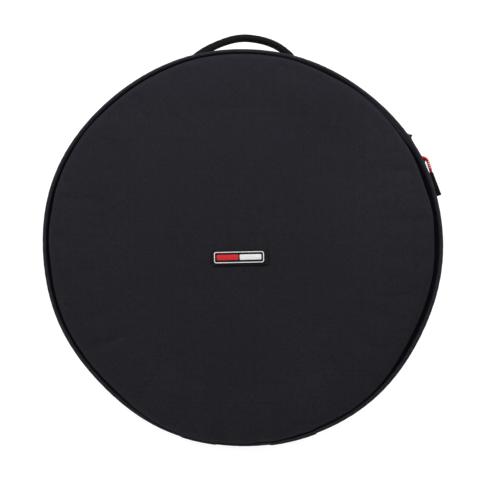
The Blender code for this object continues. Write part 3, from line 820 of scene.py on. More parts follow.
def cloth_finishes(weave, colours):
    """Finishes of cloth, padding, tape and thread."""
    cloth, webbing = tuple(colours.cloth), tuple(colours.webbing)
    finish(
        "outer cloth", cloth, "Plain weave", weave, 0.00016,
        contrast=(0.5, 1.55), specular=0.03, dust=0.02, tone=0.22,
    )
    finish(
        "piping cloth", [1.1 * channel for channel in cloth], "Plain weave", weave,
        specular=0.03, wear=0.35, dust=0.02,
    )
    # Painted shade: this tape is darker than the bag's other webbing and lies on the floor of the
    # lid's groove, so that the groove shows as dark as shade
    finish(
        "seam tape darkened as painted shade", (0.0060, 0.0060, 0.0072), "Ribbed webbing", 0.0008, 0.00015,
        specular=0.0, dust=0.0, wear=0.05,
    )
    finish(
        "lining cloth", tuple(colours.lining), "Plain weave", 0.0005, 0.00008, (0.6, 0.75),
        specular=0.25,
    )
    finish("foam", (0.09, 0.09, 0.095), "Foam cells", depth=0.0003, specular=0.1)
    finish(
        "webbing", webbing, "Ribbed webbing", 0.0013, 0.0003, (0.65, 0.8), (0.3, 1.4),
        specular=0.06, wear=0.12, dust=0.02,
    )
    finish(
        "binding tape", webbing, "Ribbed webbing", 0.0009, 0.0002, (0.65, 0.8), (0.45, 1.4),
        specular=0.08, dust=0.03,
    )
    finish("zip tape", (0.0095, 0.0095, 0.011), "Herringbone tape", 0.0009, 0.00012, dust=0.05)
    finish(
        "thread", (0.035, 0.035, 0.038), "Braided cord", 0.0004, 0.00006, (0.55, 0.7),
        specular=0.15, wear=0.1,
    )
    finish(
        "dark thread", (0.013, 0.013, 0.015), "Braided cord", 0.0004, 0.00006, (0.6, 0.75),
        specular=0.08, wear=0.1, dust=0.02,
    )
    finish(
        "red cord", tuple(colours.cord), "Braided cord", 0.0011, 0.0002, (0.5, 0.65),
        contrast=(0.7, 1.1), specular=0.3, worn=(0.9, 0.12, 0.12), dust=0.02, tone=0.1,
    )
    finish(
        "pale whipping", (0.8, 0.5, 0.5), "Braided cord", 0.0006, 0.0001, (0.5, 0.65),
        specular=0.3, dust=0.02, tone=0.1,
    )


def hard_finishes(colours):
    """Finishes of board, plastic, metal and rubber, all with the same moulded grain."""
    for name, colour, depth, roughness, others in (
        ("board", (0.05, 0.045, 0.04), 0.00012, (0.6, 0.8), {}),
        ("zip teeth", (0.01, 0.01, 0.0115), 0.00004, (0.3, 0.42), {"specular": 0.5, "dust": 0.03}),
        (
            "black metal", (0.004, 0.004, 0.0045), 0.00002, (0.34, 0.46),
            {
                "specular": 0.15, "wear": 0.35, "worn": (0.3, 0.29, 0.28), "metal": 0.0,
                "dust": 0.02,
            },
        ),
        ("rubber", (0.003, 0.003, 0.0034), 0.00008, (0.55, 0.7), {"specular": 0.06, "dust": 0.03}),
        (
            "badge rubber", (0.0085, 0.0085, 0.0105), 0.00005, (0.5, 0.62),
            {"specular": 0.05, "dust": 0.02},
        ),
        (
            "silver", tuple(colours.silver), 0.00001, (0.28, 0.36),
            {
                "contrast": (0.95, 1.05), "specular": 0.5, "wear": 0.2, "worn": (0.8, 0.8, 0.8),
                "metal": 0.75, "dust": 0.03, "tone": 0.05,
            },
        ),
        (
            "badge red", (0.55, 0.02, 0.02), 0.00002, (0.45, 0.55),
            {"contrast": (0.9, 1.05), "specular": 0.3, "dust": 0.02, "tone": 0.08},
        ),
        (
            "badge pale", (0.78, 0.78, 0.78), 0.00002, (0.45, 0.55),
            {"contrast": (0.92, 1.05), "specular": 0.3, "dust": 0.02, "tone": 0.08},
        ),
    ):
        finish(name, colour, "Moulded grain", depth=depth, roughness=roughness, **others)


class BagSizes(PropertyGroup):
    """Sizes of the bag's cloth, threads and teeth."""

    weave: FloatProperty(
        name="Weave", description="Width of a thread of the outer cloth",
        default=0.0007, min=0.0003, unit="LENGTH", precision=5,
    )
    thread: FloatProperty(
        name="Thread", description="Thickness of the sewing thread",
        default=0.0006, min=0.0002, unit="LENGTH", precision=5,
    )
    stitch_pitch: FloatProperty(
        name="Stitch", description="Length of cloth that a stitch takes up",
        default=0.0036, min=0.001, unit="LENGTH", precision=5,
    )
    tooth_pitch: FloatProperty(
        name="Tooth", description="Distance between teeth on one side of the zip",
        default=0.0032, min=0.002, unit="LENGTH", precision=5,
    )


class BagColours(PropertyGroup):
    """Colours of the bag's finishes."""

    cloth: FloatVectorProperty(
        name="Outer cloth", description="Colour of the outer cloth",
        default=(0.0170, 0.0173, 0.0222), subtype="COLOR", min=0, max=1,
    )
    lining: FloatVectorProperty(
        name="Lining", description="Colour of the lining",
        default=(0.026, 0.026, 0.029), subtype="COLOR", min=0, max=1,
    )
    webbing: FloatVectorProperty(
        name="Webbing", description="Colour of webbing, tape and binding",
        default=(0.0074, 0.0074, 0.0085), subtype="COLOR", min=0, max=1,
    )
    cord: FloatVectorProperty(
        name="Pull cord", description="Colour of the zip pulls' cord",
        default=(0.8, 0.006, 0.008), subtype="COLOR", min=0, max=1,
    )
    silver: FloatVectorProperty(
        name="Silver", description="Colour of the badge's border",
        default=(0.62, 0.62, 0.64), subtype="COLOR", min=0, max=1,
    )


class BagStage(PropertyGroup):
    """The camera and the lamps."""

    camera_height: FloatProperty(
        name="Camera height", description="Height of the camera above the lid's seam",
        default=3.0, min=0.5, unit="LENGTH",
    )
    lens: FloatProperty(
        name="Lens", description="Focal length of the camera",
        default=185.5, min=20, unit="CAMERA",
    )
    key: FloatProperty(
        name="Key lamps", description="Power of each lamp on the handle's side",
        default=12.6, min=0, unit="POWER",
    )
    fill: FloatProperty(
        name="Fill lamps", description="Power of each fill lamp", default=8.0, min=0, unit="POWER",
    )
    sky: FloatProperty(
        name="Sky", description="Strength of the even light from all round", default=0.15, min=0,
    )


class BAG_OT_finishes(Operator):
    """Make the effect groups and the finishes"""

    bl_idname = "bag.finishes"
    bl_label = "Finishes"

    def execute(self, context):
        for effect in EFFECTS:
            effect()
        cloth_finishes(context.scene.bag_sizes.weave, context.scene.bag_colours)
        hard_finishes(context.scene.bag_colours)
        return {"FINISHED"}


def disc_outline(radius, low, high):
    """The section of a round sheet from its underside's middle round its edge to the top's."""
    middle = SHEET_MIDDLE
    corners = [(middle, low), (radius, low), (radius, high), (middle, high)]
    return rounded(corners, 0.0006, 0.008, closed=False)


def disc_piece(name, radius, low, high, finish_name, body, slot, stands_for, dish=None):
    """A round sheet, which may rise and dip by a function of its points."""
    grid = turned(disc_outline(radius, low, high), steps=240)
    if dish:
        grid[..., 2] += dish(grid[..., 0], grid[..., 1])
    return Shape().grid(grid, ring=True, tube=False, flat=True).piece(
        name, finish_name, body, slot, stands_for
    )


def flange(angle):
    """How far the piping's flange shows inside its cord, at an angle round the bag."""
    return 0.0007 + 0.0026 * bump(angle, 219, 11) + 0.0008 * bump(angle, 252, 15)


def piping_tuck(angle):
    """Where the lid's piping rolls under at the back."""
    return -0.0012 * np.exp(-(((angle - math.radians(82)) / 0.24) ** 2))


def piping_grid(low, drop, on_lid=False):
    """The piping: a cord in a cloth cover with small ripples, and its sewn flange inside.

    low is the height of the cord's underside and drop that of the flange over its middle.
    """
    steps = 960
    turns = (TURN * np.arange(steps) / steps)[:, None]
    around = np.radians(np.linspace(-150, 140, 15))[None]
    ripple = 0.03 * np.sin(150 * turns + 2 * around) + 0.02 * np.sin(97 * turns - around)
    size = PIPING_RADIUS * (1 + ripple * (0.6 + 0.4 * np.sin(9 * turns)))
    if on_lid:
        drop = drop + 0.0011 * bump(turns, 219, 12)
    tip = -PIPING_RADIUS - flange(turns)
    cord = size * np.cos(around)
    side = [cord, 0.5 * (tip + cord[:, -1:]), tip, tip]
    rise = [size * np.sin(around)]
    rise += [np.full_like(tip, drop + more) for more in (0.0011, 0.0003, 0.0)]
    radius = PIPING_LINE + np.concatenate(side, axis=1)
    height = low + PIPING_RADIUS + np.concatenate(rise, axis=1)
    if on_lid:
        height = height + piping_tuck(turns)
    return soften(polar(radius, turns, height))


def wall_held(points):
    """How firmly the wall's cloth is held: at its seams, by the handle and by the back tape."""
    angle, height = np.arctan2(points[:, 1], points[:, 0]), points[:, 2]
    ends = np.maximum(height < 0.012, height > WALL_HEAD)
    handle = at_handle(angle, height, 36, 0.05)
    return np.maximum(np.maximum(ends, handle), 0.8 * bump(angle, 93, 5, 4))


class BAG_OT_folds(Operator):
    """Simulate the folds of the wall's cloth"""

    bl_idname = "bag.folds"
    bl_label = "Wall folds"

    def execute(self, context):
        turns, levels = FOLD_GRID
        angle = (TURN * np.arange(turns) / turns)[:, None]
        height = np.linspace(FOLDS["low"], FOLDS["high"], levels)[None]
        grid = soften(polar(WALL_OUT, angle, height))
        cloth = Shape().grid(grid, ring=True, tube=False)
        cloth.faces = [face for face in cloth.faces if len(face) == 4]
        start, moves = simulate(cloth, 0, wall_held, 0.0032, 0.016, pressure=0.0, bending=12.0)
        out = np.sum(start[:, :2] * moves[:, :2], axis=1) / np.linalg.norm(start[:, :2], axis=1)
        out = out.reshape(turns, levels)
        for _ in range(FOLD_SMOOTHINGS):
            out = (np.roll(out, 1, axis=0) + 2 * out + np.roll(out, -1, axis=0)) / 4
            out[:, 1:-1] = (out[:, :-2] + 2 * out[:, 1:-1] + out[:, 2:]) / 4
        free = 1 - at_handle(angle, height, 37, 0.055)
        low, high = ease((height - WALL_FOOT) / 0.03), ease((WALL_HEAD - height) / 0.03)
        FOLDS["out"] = out * low * high * free
        return {"FINISHED"}


def gathered(radius):
    """Where a round lining gathers: two shares, that fall off inwards and at its seam."""
    return ease((radius - 0.19) / 0.03), ease((0.226 - radius) / 0.01)


def base_lining_rise(x, y):
    """How far the base's lining rises: gathers at its seam and a slow swell."""
    radius, angle = np.hypot(x, y), np.arctan2(y, x)
    inside, seam = gathered(radius)
    swell = 0.0004 * (1 + np.sin(24 * x + 1) * np.sin(19 * y))
    return 0.0005 * np.sin(46 * angle) * inside * seam + swell


def lid_lining_rise(x, y):
    """How far the lid's lining sags at the gathers of its seam."""
    radius, angle = np.hypot(x, y), np.arctan2(y, x)
    inside, seam = gathered(radius)
    return -0.0005 * (1 + np.sin(40 * angle)) * inside * seam


class BAG_OT_base(Operator):
    """Make the base: cloth, stiffener, padding, lining and piping"""

    bl_idname = "bag.base"
    bl_label = "Base"

    def execute(self, context):
        disc_piece(
            "base_cloth", WALL_OUT, 0, CLOTH, "outer cloth", "bag", "outer_cloth", ["base_shell"]
        )
        low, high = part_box("base_board")
        disc_piece(
            "base_stiffener", LINING_OUT, low.z, high.z, "board", "bag", "board", ["base_board"]
        )
        low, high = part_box("base_foam")
        pad = disc_piece(
            "base_padding", LINING_OUT, low.z, high.z, "foam", "bag", "padding", ["base_foam"]
        )
        low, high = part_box("base_lining")
        disc_piece(
            "base_lining_cloth", LINING_IN - CLEARANCE, low.z, high.z, "lining cloth", "bag",
            "inner_cloth", ["base_lining"], base_lining_rise,
        )
        shape = Shape().grid(piping_grid(BASE_PIPING_LOW, -0.0017), ring=True)
        shape.piece("base_piping_cord", "piping cloth", "bag", "piping", ["base_piping"])
        return {"FINISHED"}


def bound_rim(side):
    """The outline of the tape folded over the padding's edge. side is -1 below the zip."""
    edge = FOAM_TOP + CLEARANCE if side < 0 else LID_FOAM_LOW - CLEARANCE
    tip = edge - side * TAPE
    drop = edge + side * BINDING_DROP
    leg = LINING_IN - CLEARANCE
    corners = [
        (BINDING_IN, tip), (FOAM_OUT, tip), (FOAM_OUT, edge), (leg, edge), (leg, drop),
        (BINDING_IN, drop),
    ]
    return rounded(corners, 0.0004, 0.004)


class BAG_OT_wall(Operator):
    """Make the wall: outer cloth, padding, lining, bound rim and back seam"""

    bl_idname = "bag.wall"
    bl_label = "Wall"

    def execute(self, context):
        low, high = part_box("wall_shell")
        ring_piece(
            "wall_cloth", block(WALL_OUT - CLOTH, WALL_OUT, low.z, high.z), "outer cloth", "bag",
            "outer_cloth", ["wall_shell"],
        )
        low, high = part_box("wall_foam")
        pad = ring_piece(
            "wall_padding", block(LINING_OUT + CLEARANCE, FOAM_OUT, low.z, high.z, 0.001, 0.012),
            "foam", "bag", "padding", ["wall_foam"], steps=240,
        )
        low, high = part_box("wall_lining")
        ring_piece(
            "wall_lining_cloth", block(LINING_IN, LINING_OUT, low.z, high.z, 0.0004, 0.008),
            "lining cloth", "bag", "inner_cloth", ["wall_lining"],
        )
        ring_piece("rim_tape", bound_rim(-1), "binding tape", "bag", "webbing", ["rim_binding"])
        low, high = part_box("back_seam_tape")
        start, end = BACK_SEAM
        ring_piece(
            "back_seam_cover", block(TRIM_IN, TRIM_OUT, low.z, high.z, 0.0004, 0.005),
            "webbing", "bag", "webbing", ["back_seam_tape"], start=start, end=end,
        )
        rows = Shape()
        round_row(rows, WALL_OUT, WALL_TOP - 0.0025)
        round_row(rows, WALL_OUT, WALL_TOP - 0.0065)
        round_row(rows, WALL_OUT, 0.0095)
        round_row(rows, BINDING_IN, FOAM_TOP - 0.0125, outwards=-1.0)
        inset = 0.0022 / TRIM_OUT
        for angle in (start + inset, end - inset):
            wall_rows(rows, TRIM_OUT, [[(angle, low.z + 0.002), (angle, high.z - 0.002)]])
        rows.piece("wall_stitches", "thread", "bag", "outer_cloth")
        return {"FINISHED"}


# A zip tooth: foot, stem and rounded head, along its first axis from 0 to 1
TOOTH = spindle(
    [
        (0.0, 0.36, 0.0), (0.08, 0.5, 0.0), (0.45, 0.5, 0.0), (0.62, 0.34, 0.0), (0.74, 0.34, 0.0),
        (0.86, 0.5, 0.0), (0.96, 0.44, 0.0), (1.0, 0.25, 0.0),
    ],
    8,
)
TOOTH_LENGTH, TOOTH_WIDTH, TOOTH_DEPTH = 0.0052, 0.0015, 0.0021
# How far a tooth's foot is from the zip's middle line, and its middle from the tape
TOOTH_FOOT, TOOTH_LIFT = 0.0042, 0.0011


def zip_half(name, side, body, node_tape, node_teeth):
    """One half of the zip: its tape and its teeth. side is -1 below the zip's middle."""
    sizes = bpy.context.scene.bag_sizes
    low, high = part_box(node_tape)
    ring_piece(
        f"{name}_tape", block(WALL_OUT - CLOTH, TAPE_OUT, low.z, high.z, 0.0003, 0.002),
        "zip tape", body, "zip", [node_tape], start=ZIP_START, end=ZIP_END, steps=720,
    )
    count = int((ZIP_END - ZIP_START) * TEETH_OUT / sizes.tooth_pitch)
    shift = 0.25 if side > 0 else 0.75
    angle = ZIP_START + (np.arange(count) + shift) / count * (ZIP_END - ZIP_START)
    origins = polar(TAPE_OUT + TOOTH_LIFT, angle, ZIP_LINE + side * TOOTH_FOOT)
    along = np.broadcast_to([0, 0, -side * TOOTH_LENGTH], origins.shape)
    across = polar(1.0, angle + math.pi / 2, 0.0) * TOOTH_WIDTH
    out = polar(1.0, angle, 0.0) * TOOTH_DEPTH * -side
    shape = Shape().copies(TOOTH, origins, along, across, out)
    shape.piece(f"{name}_teeth", "zip teeth", body, "zip", [node_teeth])
    rows = Shape()
    for away in (0.0062, 0.0098):
        round_row(rows, TAPE_OUT, ZIP_LINE + side * away, ZIP_START + 0.01, ZIP_END - 0.01)
    rows.piece(f"{name}_stitches", "thread", body, "zip")


# The covers over the zip's two ends: where each starts and how far it goes, in degrees
ZIP_COVERS, ZIP_COVER_TURN = (("left", 114), ("right", 66)), 6


class BAG_OT_zip(Operator):
    """Make the zip: tapes, teeth and the covers over its ends"""

    bl_idname = "bag.zip"
    bl_label = "Zip"

    def execute(self, context):
        zip_half("zip_low", -1, "bag", "zip_tape_lower", "zip_teeth_lower")
        zip_half("zip_high", 1, "lid", "zip_tape_upper", "zip_teeth_upper")
        rows = Shape()
        inner = TEETH_OUT + CLEARANCE
        for side, start in ZIP_COVERS:
            start, end = math.radians(start), math.radians(start + ZIP_COVER_TURN)
            low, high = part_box(f"zip_garage_{side}")
            ring_piece(
                f"zip_end_{side}", block(inner, inner + CLOTH, low.z, high.z, 0.0005, 0.002),
                "webbing", "bag", "webbing", [f"zip_garage_{side}"],
                start=start, end=end, steps=720,
            )
            inset = 0.0018 / inner
            paths = box_rows(start + inset, end - inset, low.z + 0.0018, high.z - 0.0018, False)
            wall_rows(rows, inner + CLOTH, paths)
        rows.piece("zip_end_stitches", "thread", "bag", "webbing")
        return {"FINISHED"}


# The hinge's stitches start a millimetre beyond this distance above and below the zip's line
HINGE_BEND = 0.008


class BAG_OT_hinge(Operator):
    """Make the cloth hinge that joins lid and wall at the back"""

    bl_idname = "bag.hinge"
    bl_label = "Hinge"

    def execute(self, context):
        low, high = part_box("hinge_panel_lower")[0].z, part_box("hinge_panel_upper")[1].z
        bend = [(0, TRIM_OUT, ZIP_LINE + side * HINGE_BEND) for side in (-1, 1)]
        outline = block(TRIM_IN, TRIM_OUT, low, high, 0.0005, 0.0015)
        shape = Shape().grid(turned(outline, HINGE_START, HINGE_END, 720))
        shape.piece(
            "hinge_cloth", "webbing", ("bag", "lid", *bend), "webbing",
            ["hinge_panel_lower", "hinge_panel_upper"],
        )
        inset = 0.0025 / TRIM_OUT
        for name, body, side, far in (
            ("hinge_stitches_low", "bag", -1, low + 0.003),
            ("hinge_stitches_high", "lid", 1, high - 0.003),
        ):
            near = ZIP_LINE + side * (HINGE_BEND + 0.001)
            start, end = HINGE_START + inset, HINGE_END - inset
            paths = [[(start, near), (start, far), (end, far), (end, near)]]
            for angle in (start + 2 * inset, end - 2 * inset):
                paths.append([(angle, near), (angle, far)])
            wall_rows(Shape(), TRIM_OUT, paths).piece(name, "thread", body, "webbing")
        return {"FINISHED"}


def groove(angle):
    """Width of the groove between the lid's piping and its padded top, at an angle."""
    places, widths = np.array(GROOVE).T
    places = np.concatenate([places - 360, places, places + 360])
    widths = np.tile(widths, 3)
    fine = np.arange(-180, 540, 2.0)
    smooth = np.interp(fine, places, widths)
    smooth = np.convolve(np.pad(smooth, 2, mode="edge"), [0.1, 0.24, 0.32, 0.24, 0.1], "valid")
    return np.interp(np.degrees(angle) % 360, fine, smooth) / 1000


def crease_depth(x, y):
    """How deep the lid's faint creases go at a point."""
    depth = 0
    for cx, cy, heading, length, width, deep in LID_CREASES:
        turn = math.radians(heading)
        along = (x - cx) * math.cos(turn) + (y - cy) * math.sin(turn)
        across = (y - cy) * math.cos(turn) - (x - cx) * math.sin(turn)
        depth = depth + deep * np.exp(-((2 * along / length) ** 2) - (2 * across / width) ** 2)
    return depth


LID_SEAM = BAND_TOP + 0.00005
# Height of the groove's floor, where the lid's top is sewn down
GROOVE_FLOOR = 0.4304
# What the lid's top is raised by over its padding, on its inner and its outer face
COVER_IN, COVER_OUT = CLEARANCE, CLEARANCE + CLOTH


def tucks(radius, angle):
    """Depth of the two short tucks that the photo shows beside the lid's edge."""
    upper = 0.0013 * bump(angle, 215, 11) * np.exp(-(((radius - 0.2324) / 0.0009) ** 2))
    top = 0.0008 * bump(angle, 272, 11) * np.exp(-(((radius - 0.2338) / 0.0007) ** 2))
    return upper + top


def lid_crown(radius):
    """Height of the lid's padding at a radius, inside its rolled edge."""
    level = np.clip((radius / LID_ROLL - LID_FLAT) / (1 - LID_FLAT), 0, 1)
    return LID_PAD_RIM + (LID_TOP - LID_PAD_RIM) * (1 - level**2)


def lid_slack(angle):
    """How far in the lid's top starts to roll down at an angle: most where its cloth is slack."""
    return 0.0058 * bump(angle, 160, 27, 4) + 0.0026 * bump(angle, 22, 26) + 0.0012


def cover_grid(lift, steps, roll_steps, crown_spacing, seam=True):
    """The lid's top at a height above its padding, from the seam over the roll to the middle.

    steps is the number of points round the lid and roll_steps of those over its roll. Beyond
    the roll the rows are about crown_spacing apart. Without seam the edge that is sewn down
    is left off.
    """
    angle = (np.arange(steps) / steps * TURN)[:, None]
    wide = groove(angle)
    tilt = np.linspace(0, math.pi / 2, roll_steps)[None]
    foot = FOAM_OUT + lift - 0.0004 - wide
    shoulder = LID_ROLL - 0.45 * wide - lid_slack(angle)
    bulge = 0.0034 * bump(angle, 79, 21, 4)
    radius = shoulder + (foot - shoulder) * np.cos(tilt) + bulge * np.sin(2 * tilt)
    low = GROOVE_FLOOR + lift
    height = low + (lid_crown(shoulder) + lift - low) * np.sin(tilt)
    count = math.ceil((LID_ROLL - SHEET_MIDDLE) / crown_spacing)
    share = 1 - (np.arange(1, count + 1) / count)[None] ** 1.25
    flat = SHEET_MIDDLE + (shoulder - SHEET_MIDDLE) * share
    crown = lid_crown(flat) + lift
    radius = np.concatenate([radius, flat], axis=1)
    height = np.concatenate([np.broadcast_to(height, (steps, roll_steps)), crown], axis=1)
    height = height - tucks(radius, angle) * ease((height - 0.434) / 0.002)
    if seam:
        edge = FOAM_OUT + lift
        first = np.broadcast_to([[edge, edge]], (steps, 2))
        rise = np.broadcast_to([[LID_SEAM, low]], (steps, 2))
        radius = np.concatenate([first, radius], axis=1)
        height = np.concatenate([rise, height], axis=1)
    grid = soften(polar(radius, angle, height))
    x, y = grid[..., 0], grid[..., 1]
    off_badge = ease((np.hypot(x - BADGE[0], y - BADGE[1]) - 0.045) / 0.03)
    grid[..., 2] -= crease_depth(x, y) * off_badge
    return grid


SETTLING_FRAMES = 20


def mesh_points(mesh):
    """The points of a mesh as an array."""
    where = np.empty(len(mesh.vertices) * 3, np.float32)
    mesh.vertices.foreach_get("co", where)
    return where.reshape(-1, 3).astype(float)


def simulate(shape, voxel, held, cap, grow, pressure, bending=0.5):
    """Let cloth over a shape settle for some frames, and give its points and their moves.

    voxel is the size of the even mesh that it is turned into first, if any. held gives how
    firmly each point is held, cap is as far as one may move, and grow is the share by which
    the cloth is larger than the shape.
    """
    scene = bpy.context.scene
    mesh = bpy.data.meshes.new("settling cloth")
    mesh.from_pydata(np.concatenate(shape.points).tolist(), [], shape.faces)
    made = bpy.data.objects.new("settling cloth", mesh)
    scene.collection.objects.link(made)
    if voxel:
        remesh = made.modifiers.new("even mesh", "REMESH")
        remesh.mode, remesh.voxel_size = "VOXEL", voxel
    view = bpy.context.evaluated_depsgraph_get()
    even = bpy.data.meshes.new_from_object(made.evaluated_get(view))
    made.modifiers.clear()
    made.data = even
    start = mesh_points(even)
    group = made.vertex_groups.new(name="held")
    for index, weight in enumerate(np.clip(held(start), 0, 1).tolist()):
        group.add([index], weight, "REPLACE")
    cloth = made.modifiers.new("cloth", "CLOTH")
    settings = cloth.settings
    settings.quality = 5
    settings.vertex_group_mass = "held"
    settings.use_pressure = pressure > 0
    settings.uniform_pressure_force = pressure
    settings.bending_stiffness = bending
    settings.shrink_min = -grow
    settings.effector_weights.gravity = 0.0
    cloth.point_cache.frame_start, cloth.point_cache.frame_end = 1, SETTLING_FRAMES
    for number in range(1, SETTLING_FRAMES + 1):
        scene.frame_set(number)
    view = bpy.context.evaluated_depsgraph_get()
    moves = mesh_points(made.evaluated_get(view).data) - start
    scene.frame_set(1)
    bpy.data.objects.remove(made)
    size = np.linalg.norm(moves, axis=1, keepdims=True)
    moves *= cap * np.tanh(size / cap) / np.maximum(size, 1e-9)
    return start, moves


def cloth_moves(shape, voxel, held, cap, grow):
    """Puff cloth up over a closed shape by simulation. Gives a function that moves points."""
    start, moves = simulate(shape, voxel, held, cap, grow, pressure=4.0)
    tree = KDTree(len(start))
    for index, point in enumerate(start):
        tree.insert(point, index)
    tree.balance()

    def moved(where):
        """How far the cloth near each point has moved."""
        flat = where.reshape(-1, 3)
        out = np.zeros_like(flat)
        for index, point in enumerate(flat):
            found = tree.find_n(point, 8)
            near = [hit[1] for hit in found]
            pull = np.array([1 / (hit[2] ** 2 + (0.6 * voxel) ** 2) for hit in found])
            out[index] = pull @ moves[near] / pull.sum()
        return out.reshape(where.shape)

    return moved


def closed_pad(grid, low):
    """A pad from its top's grid, closed by a flat underside."""
    rim, middle = grid[:, :1].copy(), grid[:, -1:].copy()
    rim[..., 2], middle[..., 2] = low, low
    grid = np.concatenate([middle, rim, grid], axis=1)
    return Shape().grid(grid, ring=True, tube=False, flat=True)


def puffed_top():
    """How the lid's cover and padding swell and gather: a function that moves their points."""
    pad = cover_grid(0.0005, 240, 8, 0.008, seam=False)

    def held(points):
        """How firmly the cloth is held: at its seam, and on the level middle of the lid."""
        radius = np.hypot(points[:, 0], points[:, 1])
        return np.maximum(ease((0.434 - points[:, 2]) / 0.002), ease((0.185 - radius) / 0.03))

    moved = cloth_moves(closed_pad(pad, 0.412), 0.005, held, 0.0022, 0.02)

    def move(grid):
        """A grid moved with the cloth, but for its seam and its middle."""
        radius = np.hypot(grid[..., 0], grid[..., 1])
        free = ease((grid[..., 2] - 0.4322) / 0.004) * ease((radius - 0.13) / 0.03)
        return grid + moved(grid) * free[..., None]

    return move


def lid_top():
    """The lid's padded cover and the padding under it."""
    move = puffed_top()
    outer = move(cover_grid(COVER_OUT, 720, 26, 0.004))
    inner = move(cover_grid(COVER_IN, 720, 10, 0.012))
    both = np.concatenate([inner[:, ::-1], outer], axis=1)
    cover = Shape().grid(both, ring=True, tube=False, flat=True)
    cover = cover.piece("lid_cover", "outer cloth", "lid", "outer_cloth", ["lid_panel"])
    pad = closed_pad(move(cover_grid(0.0, 240, 8, 0.02, seam=False)), LID_PAD_LOW)
    pad = pad.piece("lid_padding", "foam", "lid", "padding", ["lid_foam"])


def lid_groove():
    """The dark tape on the floor of the groove between the lid's piping and its top, whose
    darkness is painted shade for the groove.
    """
    angles = (TURN * np.arange(720) / 720)[:, None]
    foot = FOAM_OUT + COVER_OUT - 0.0007 - groove(angles)
    rim = np.full_like(foot, WALL_OUT - 0.0001)
    across = np.concatenate([foot, foot + 0.0004, rim], axis=1)
    across = np.concatenate([across, across[:, ::-1]], axis=1)
    rise = np.array([[0.0006, 0.0002, 0.0002, -0.0003, -0.0003, -0.0001]])
    tape = polar(across, angles, rise + GROOVE_FLOOR + COVER_OUT)
    tape = Shape().grid(soften(tape), ring=True)
    tape.piece("lid_seam_tape_painted_shade", "seam tape darkened as painted shade", "lid", "webbing")


def lid_stitches():
    """The row of stitches along the middle of the groove, in the dark tape's finish: painted
    shade.
    """
    angles = TURN * np.arange(720) / 720
    radius = FOAM_OUT + COVER_OUT - 0.0018 - 0.4 * groove(angles)
    line = soften(polar(radius, angles, GROOVE_FLOOR + COVER_OUT + 0.0002))
    rows = sew(Shape(), line, np.broadcast_to([0.0, 0, 1], line.shape), closed=True)
    rows.piece("lid_stitches", "seam tape darkened as painted shade", "lid", "outer_cloth")


class BAG_OT_lid(Operator):
    """Make the lid's top: padded cover, its padding, piping and lining"""

    bl_idname = "bag.lid"
    bl_label = "Lid"

    def execute(self, context):
        lid_top()
        lid_groove()
        shape = Shape().grid(piping_grid(PIPING_LOW, -0.0011, on_lid=True), ring=True)
        shape.piece("lid_piping_cord", "piping cloth", "lid", "piping", ["lid_piping"])
        low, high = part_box("lid_lining")
        disc_piece(
            "lid_lining_cloth", LINING_IN - CLEARANCE, low.z, high.z, "lining cloth", "lid",
            "inner_cloth", ["lid_lining"], lid_lining_rise,
        )
        lid_stitches()
        return {"FINISHED"}


class BAG_OT_band(Operator):
    """Make the lid's band: outer cloth, padding, lining and bound rim"""

    bl_idname = "bag.band"
    bl_label = "Lid band"

    def execute(self, context):
        ring_piece(
            "lid_band_cloth", block(WALL_OUT - CLOTH, WALL_OUT, BAND_LOW, BAND_TOP, 0.0005, 0.003),
            "outer cloth", "lid", "outer_cloth", ["lid_band_shell"],
        )
        pad = ring_piece(
            "lid_band_padding",
            block(LINING_OUT + CLEARANCE, FOAM_OUT, LID_FOAM_LOW, LID_FOAM_TOP, 0.001, 0.006),
            "foam", "lid", "padding", ["lid_band_foam"], steps=240,
        )
        ring_piece(
            "lid_band_lining_cloth",
            block(LINING_IN, LINING_OUT, LID_FOAM_LOW, LID_FOAM_TOP, 0.0004, 0.006),
            "lining cloth", "lid", "inner_cloth", ["lid_band_lining"],
        )
        ring_piece(
            "lid_rim_tape", bound_rim(1), "binding tape", "lid", "webbing", ["lid_rim_binding"]
        )
        rows = Shape()
        round_row(rows, WALL_OUT, BAND_LOW + 0.0025)
        round_row(rows, WALL_OUT, BAND_LOW + 0.0065)
        round_row(rows, WALL_OUT, BAND_TOP - 0.004)
        round_row(rows, BINDING_IN, LID_FOAM_LOW + 0.0125, outwards=-1.0)
        rows.piece("lid_band_stitches", "thread", "lid", "outer_cloth")
        return {"FINISHED"}


def rounded_box(size, corner, steps=8):
    """The outline of a rectangle with rounded corners about the origin."""
    half = [side / 2 - corner for side in size]
    points = []
    for quarter, (sx, sy) in enumerate(((1, 1), (-1, 1), (-1, -1), (1, -1))):
        for angle in np.linspace(quarter, quarter + 1, steps + 1) * math.pi / 2:
            x = sx * half[0] + corner * math.cos(angle)
            y = sy * half[1] + corner * math.sin(angle)
            points.append((x, y))
    return np.array(points)


def slab(size, corner, low, high, bevel):
    """A grid of a flat moulding with a rounded upper edge, in its own frame."""
    rings = []
    levels = [(bevel * 0.5, low), (0.0, low + bevel * 0.5), (0.0, high - bevel)]
    for angle in np.linspace(0, math.pi / 2, 5)[1:]:
        levels.append((bevel * (1 - math.cos(angle)), high - bevel * (1 - math.sin(angle))))
    for inset, height in levels:
        outline = rounded_box([side - 2 * inset for side in size], max(corner - inset, 0.0002))
        rings.append(np.concatenate([outline, np.full((len(outline), 1), height)], axis=1))
    return np.array(rings)


def moulded_ring(outline, width, low, high):
    """A grid of a raised line of a width along a closed flat outline."""
    apart = np.linalg.norm(outline - np.roll(outline, 1, axis=0), axis=1)
    outline = outline[apart > 1e-6]
    middle = (low + high) / 2
    path = np.concatenate([outline, np.full((len(outline), 1), middle)], axis=1)
    section = block(-width / 2, width / 2, low - middle, high - middle, 0.0003, 0.001)
    return swept(path, section, (0, 0, 1), closed=True)


def placed(grid, place, turn=0.0):
    """A grid turned about Z and moved to its place."""
    c, s = math.cos(turn), math.sin(turn)
    x, y, z = np.moveaxis(np.asarray(grid, float), -1, 0)
    return np.stack([x * c - y * s + place[0], x * s + y * c + place[1], z + place[2]], axis=-1)


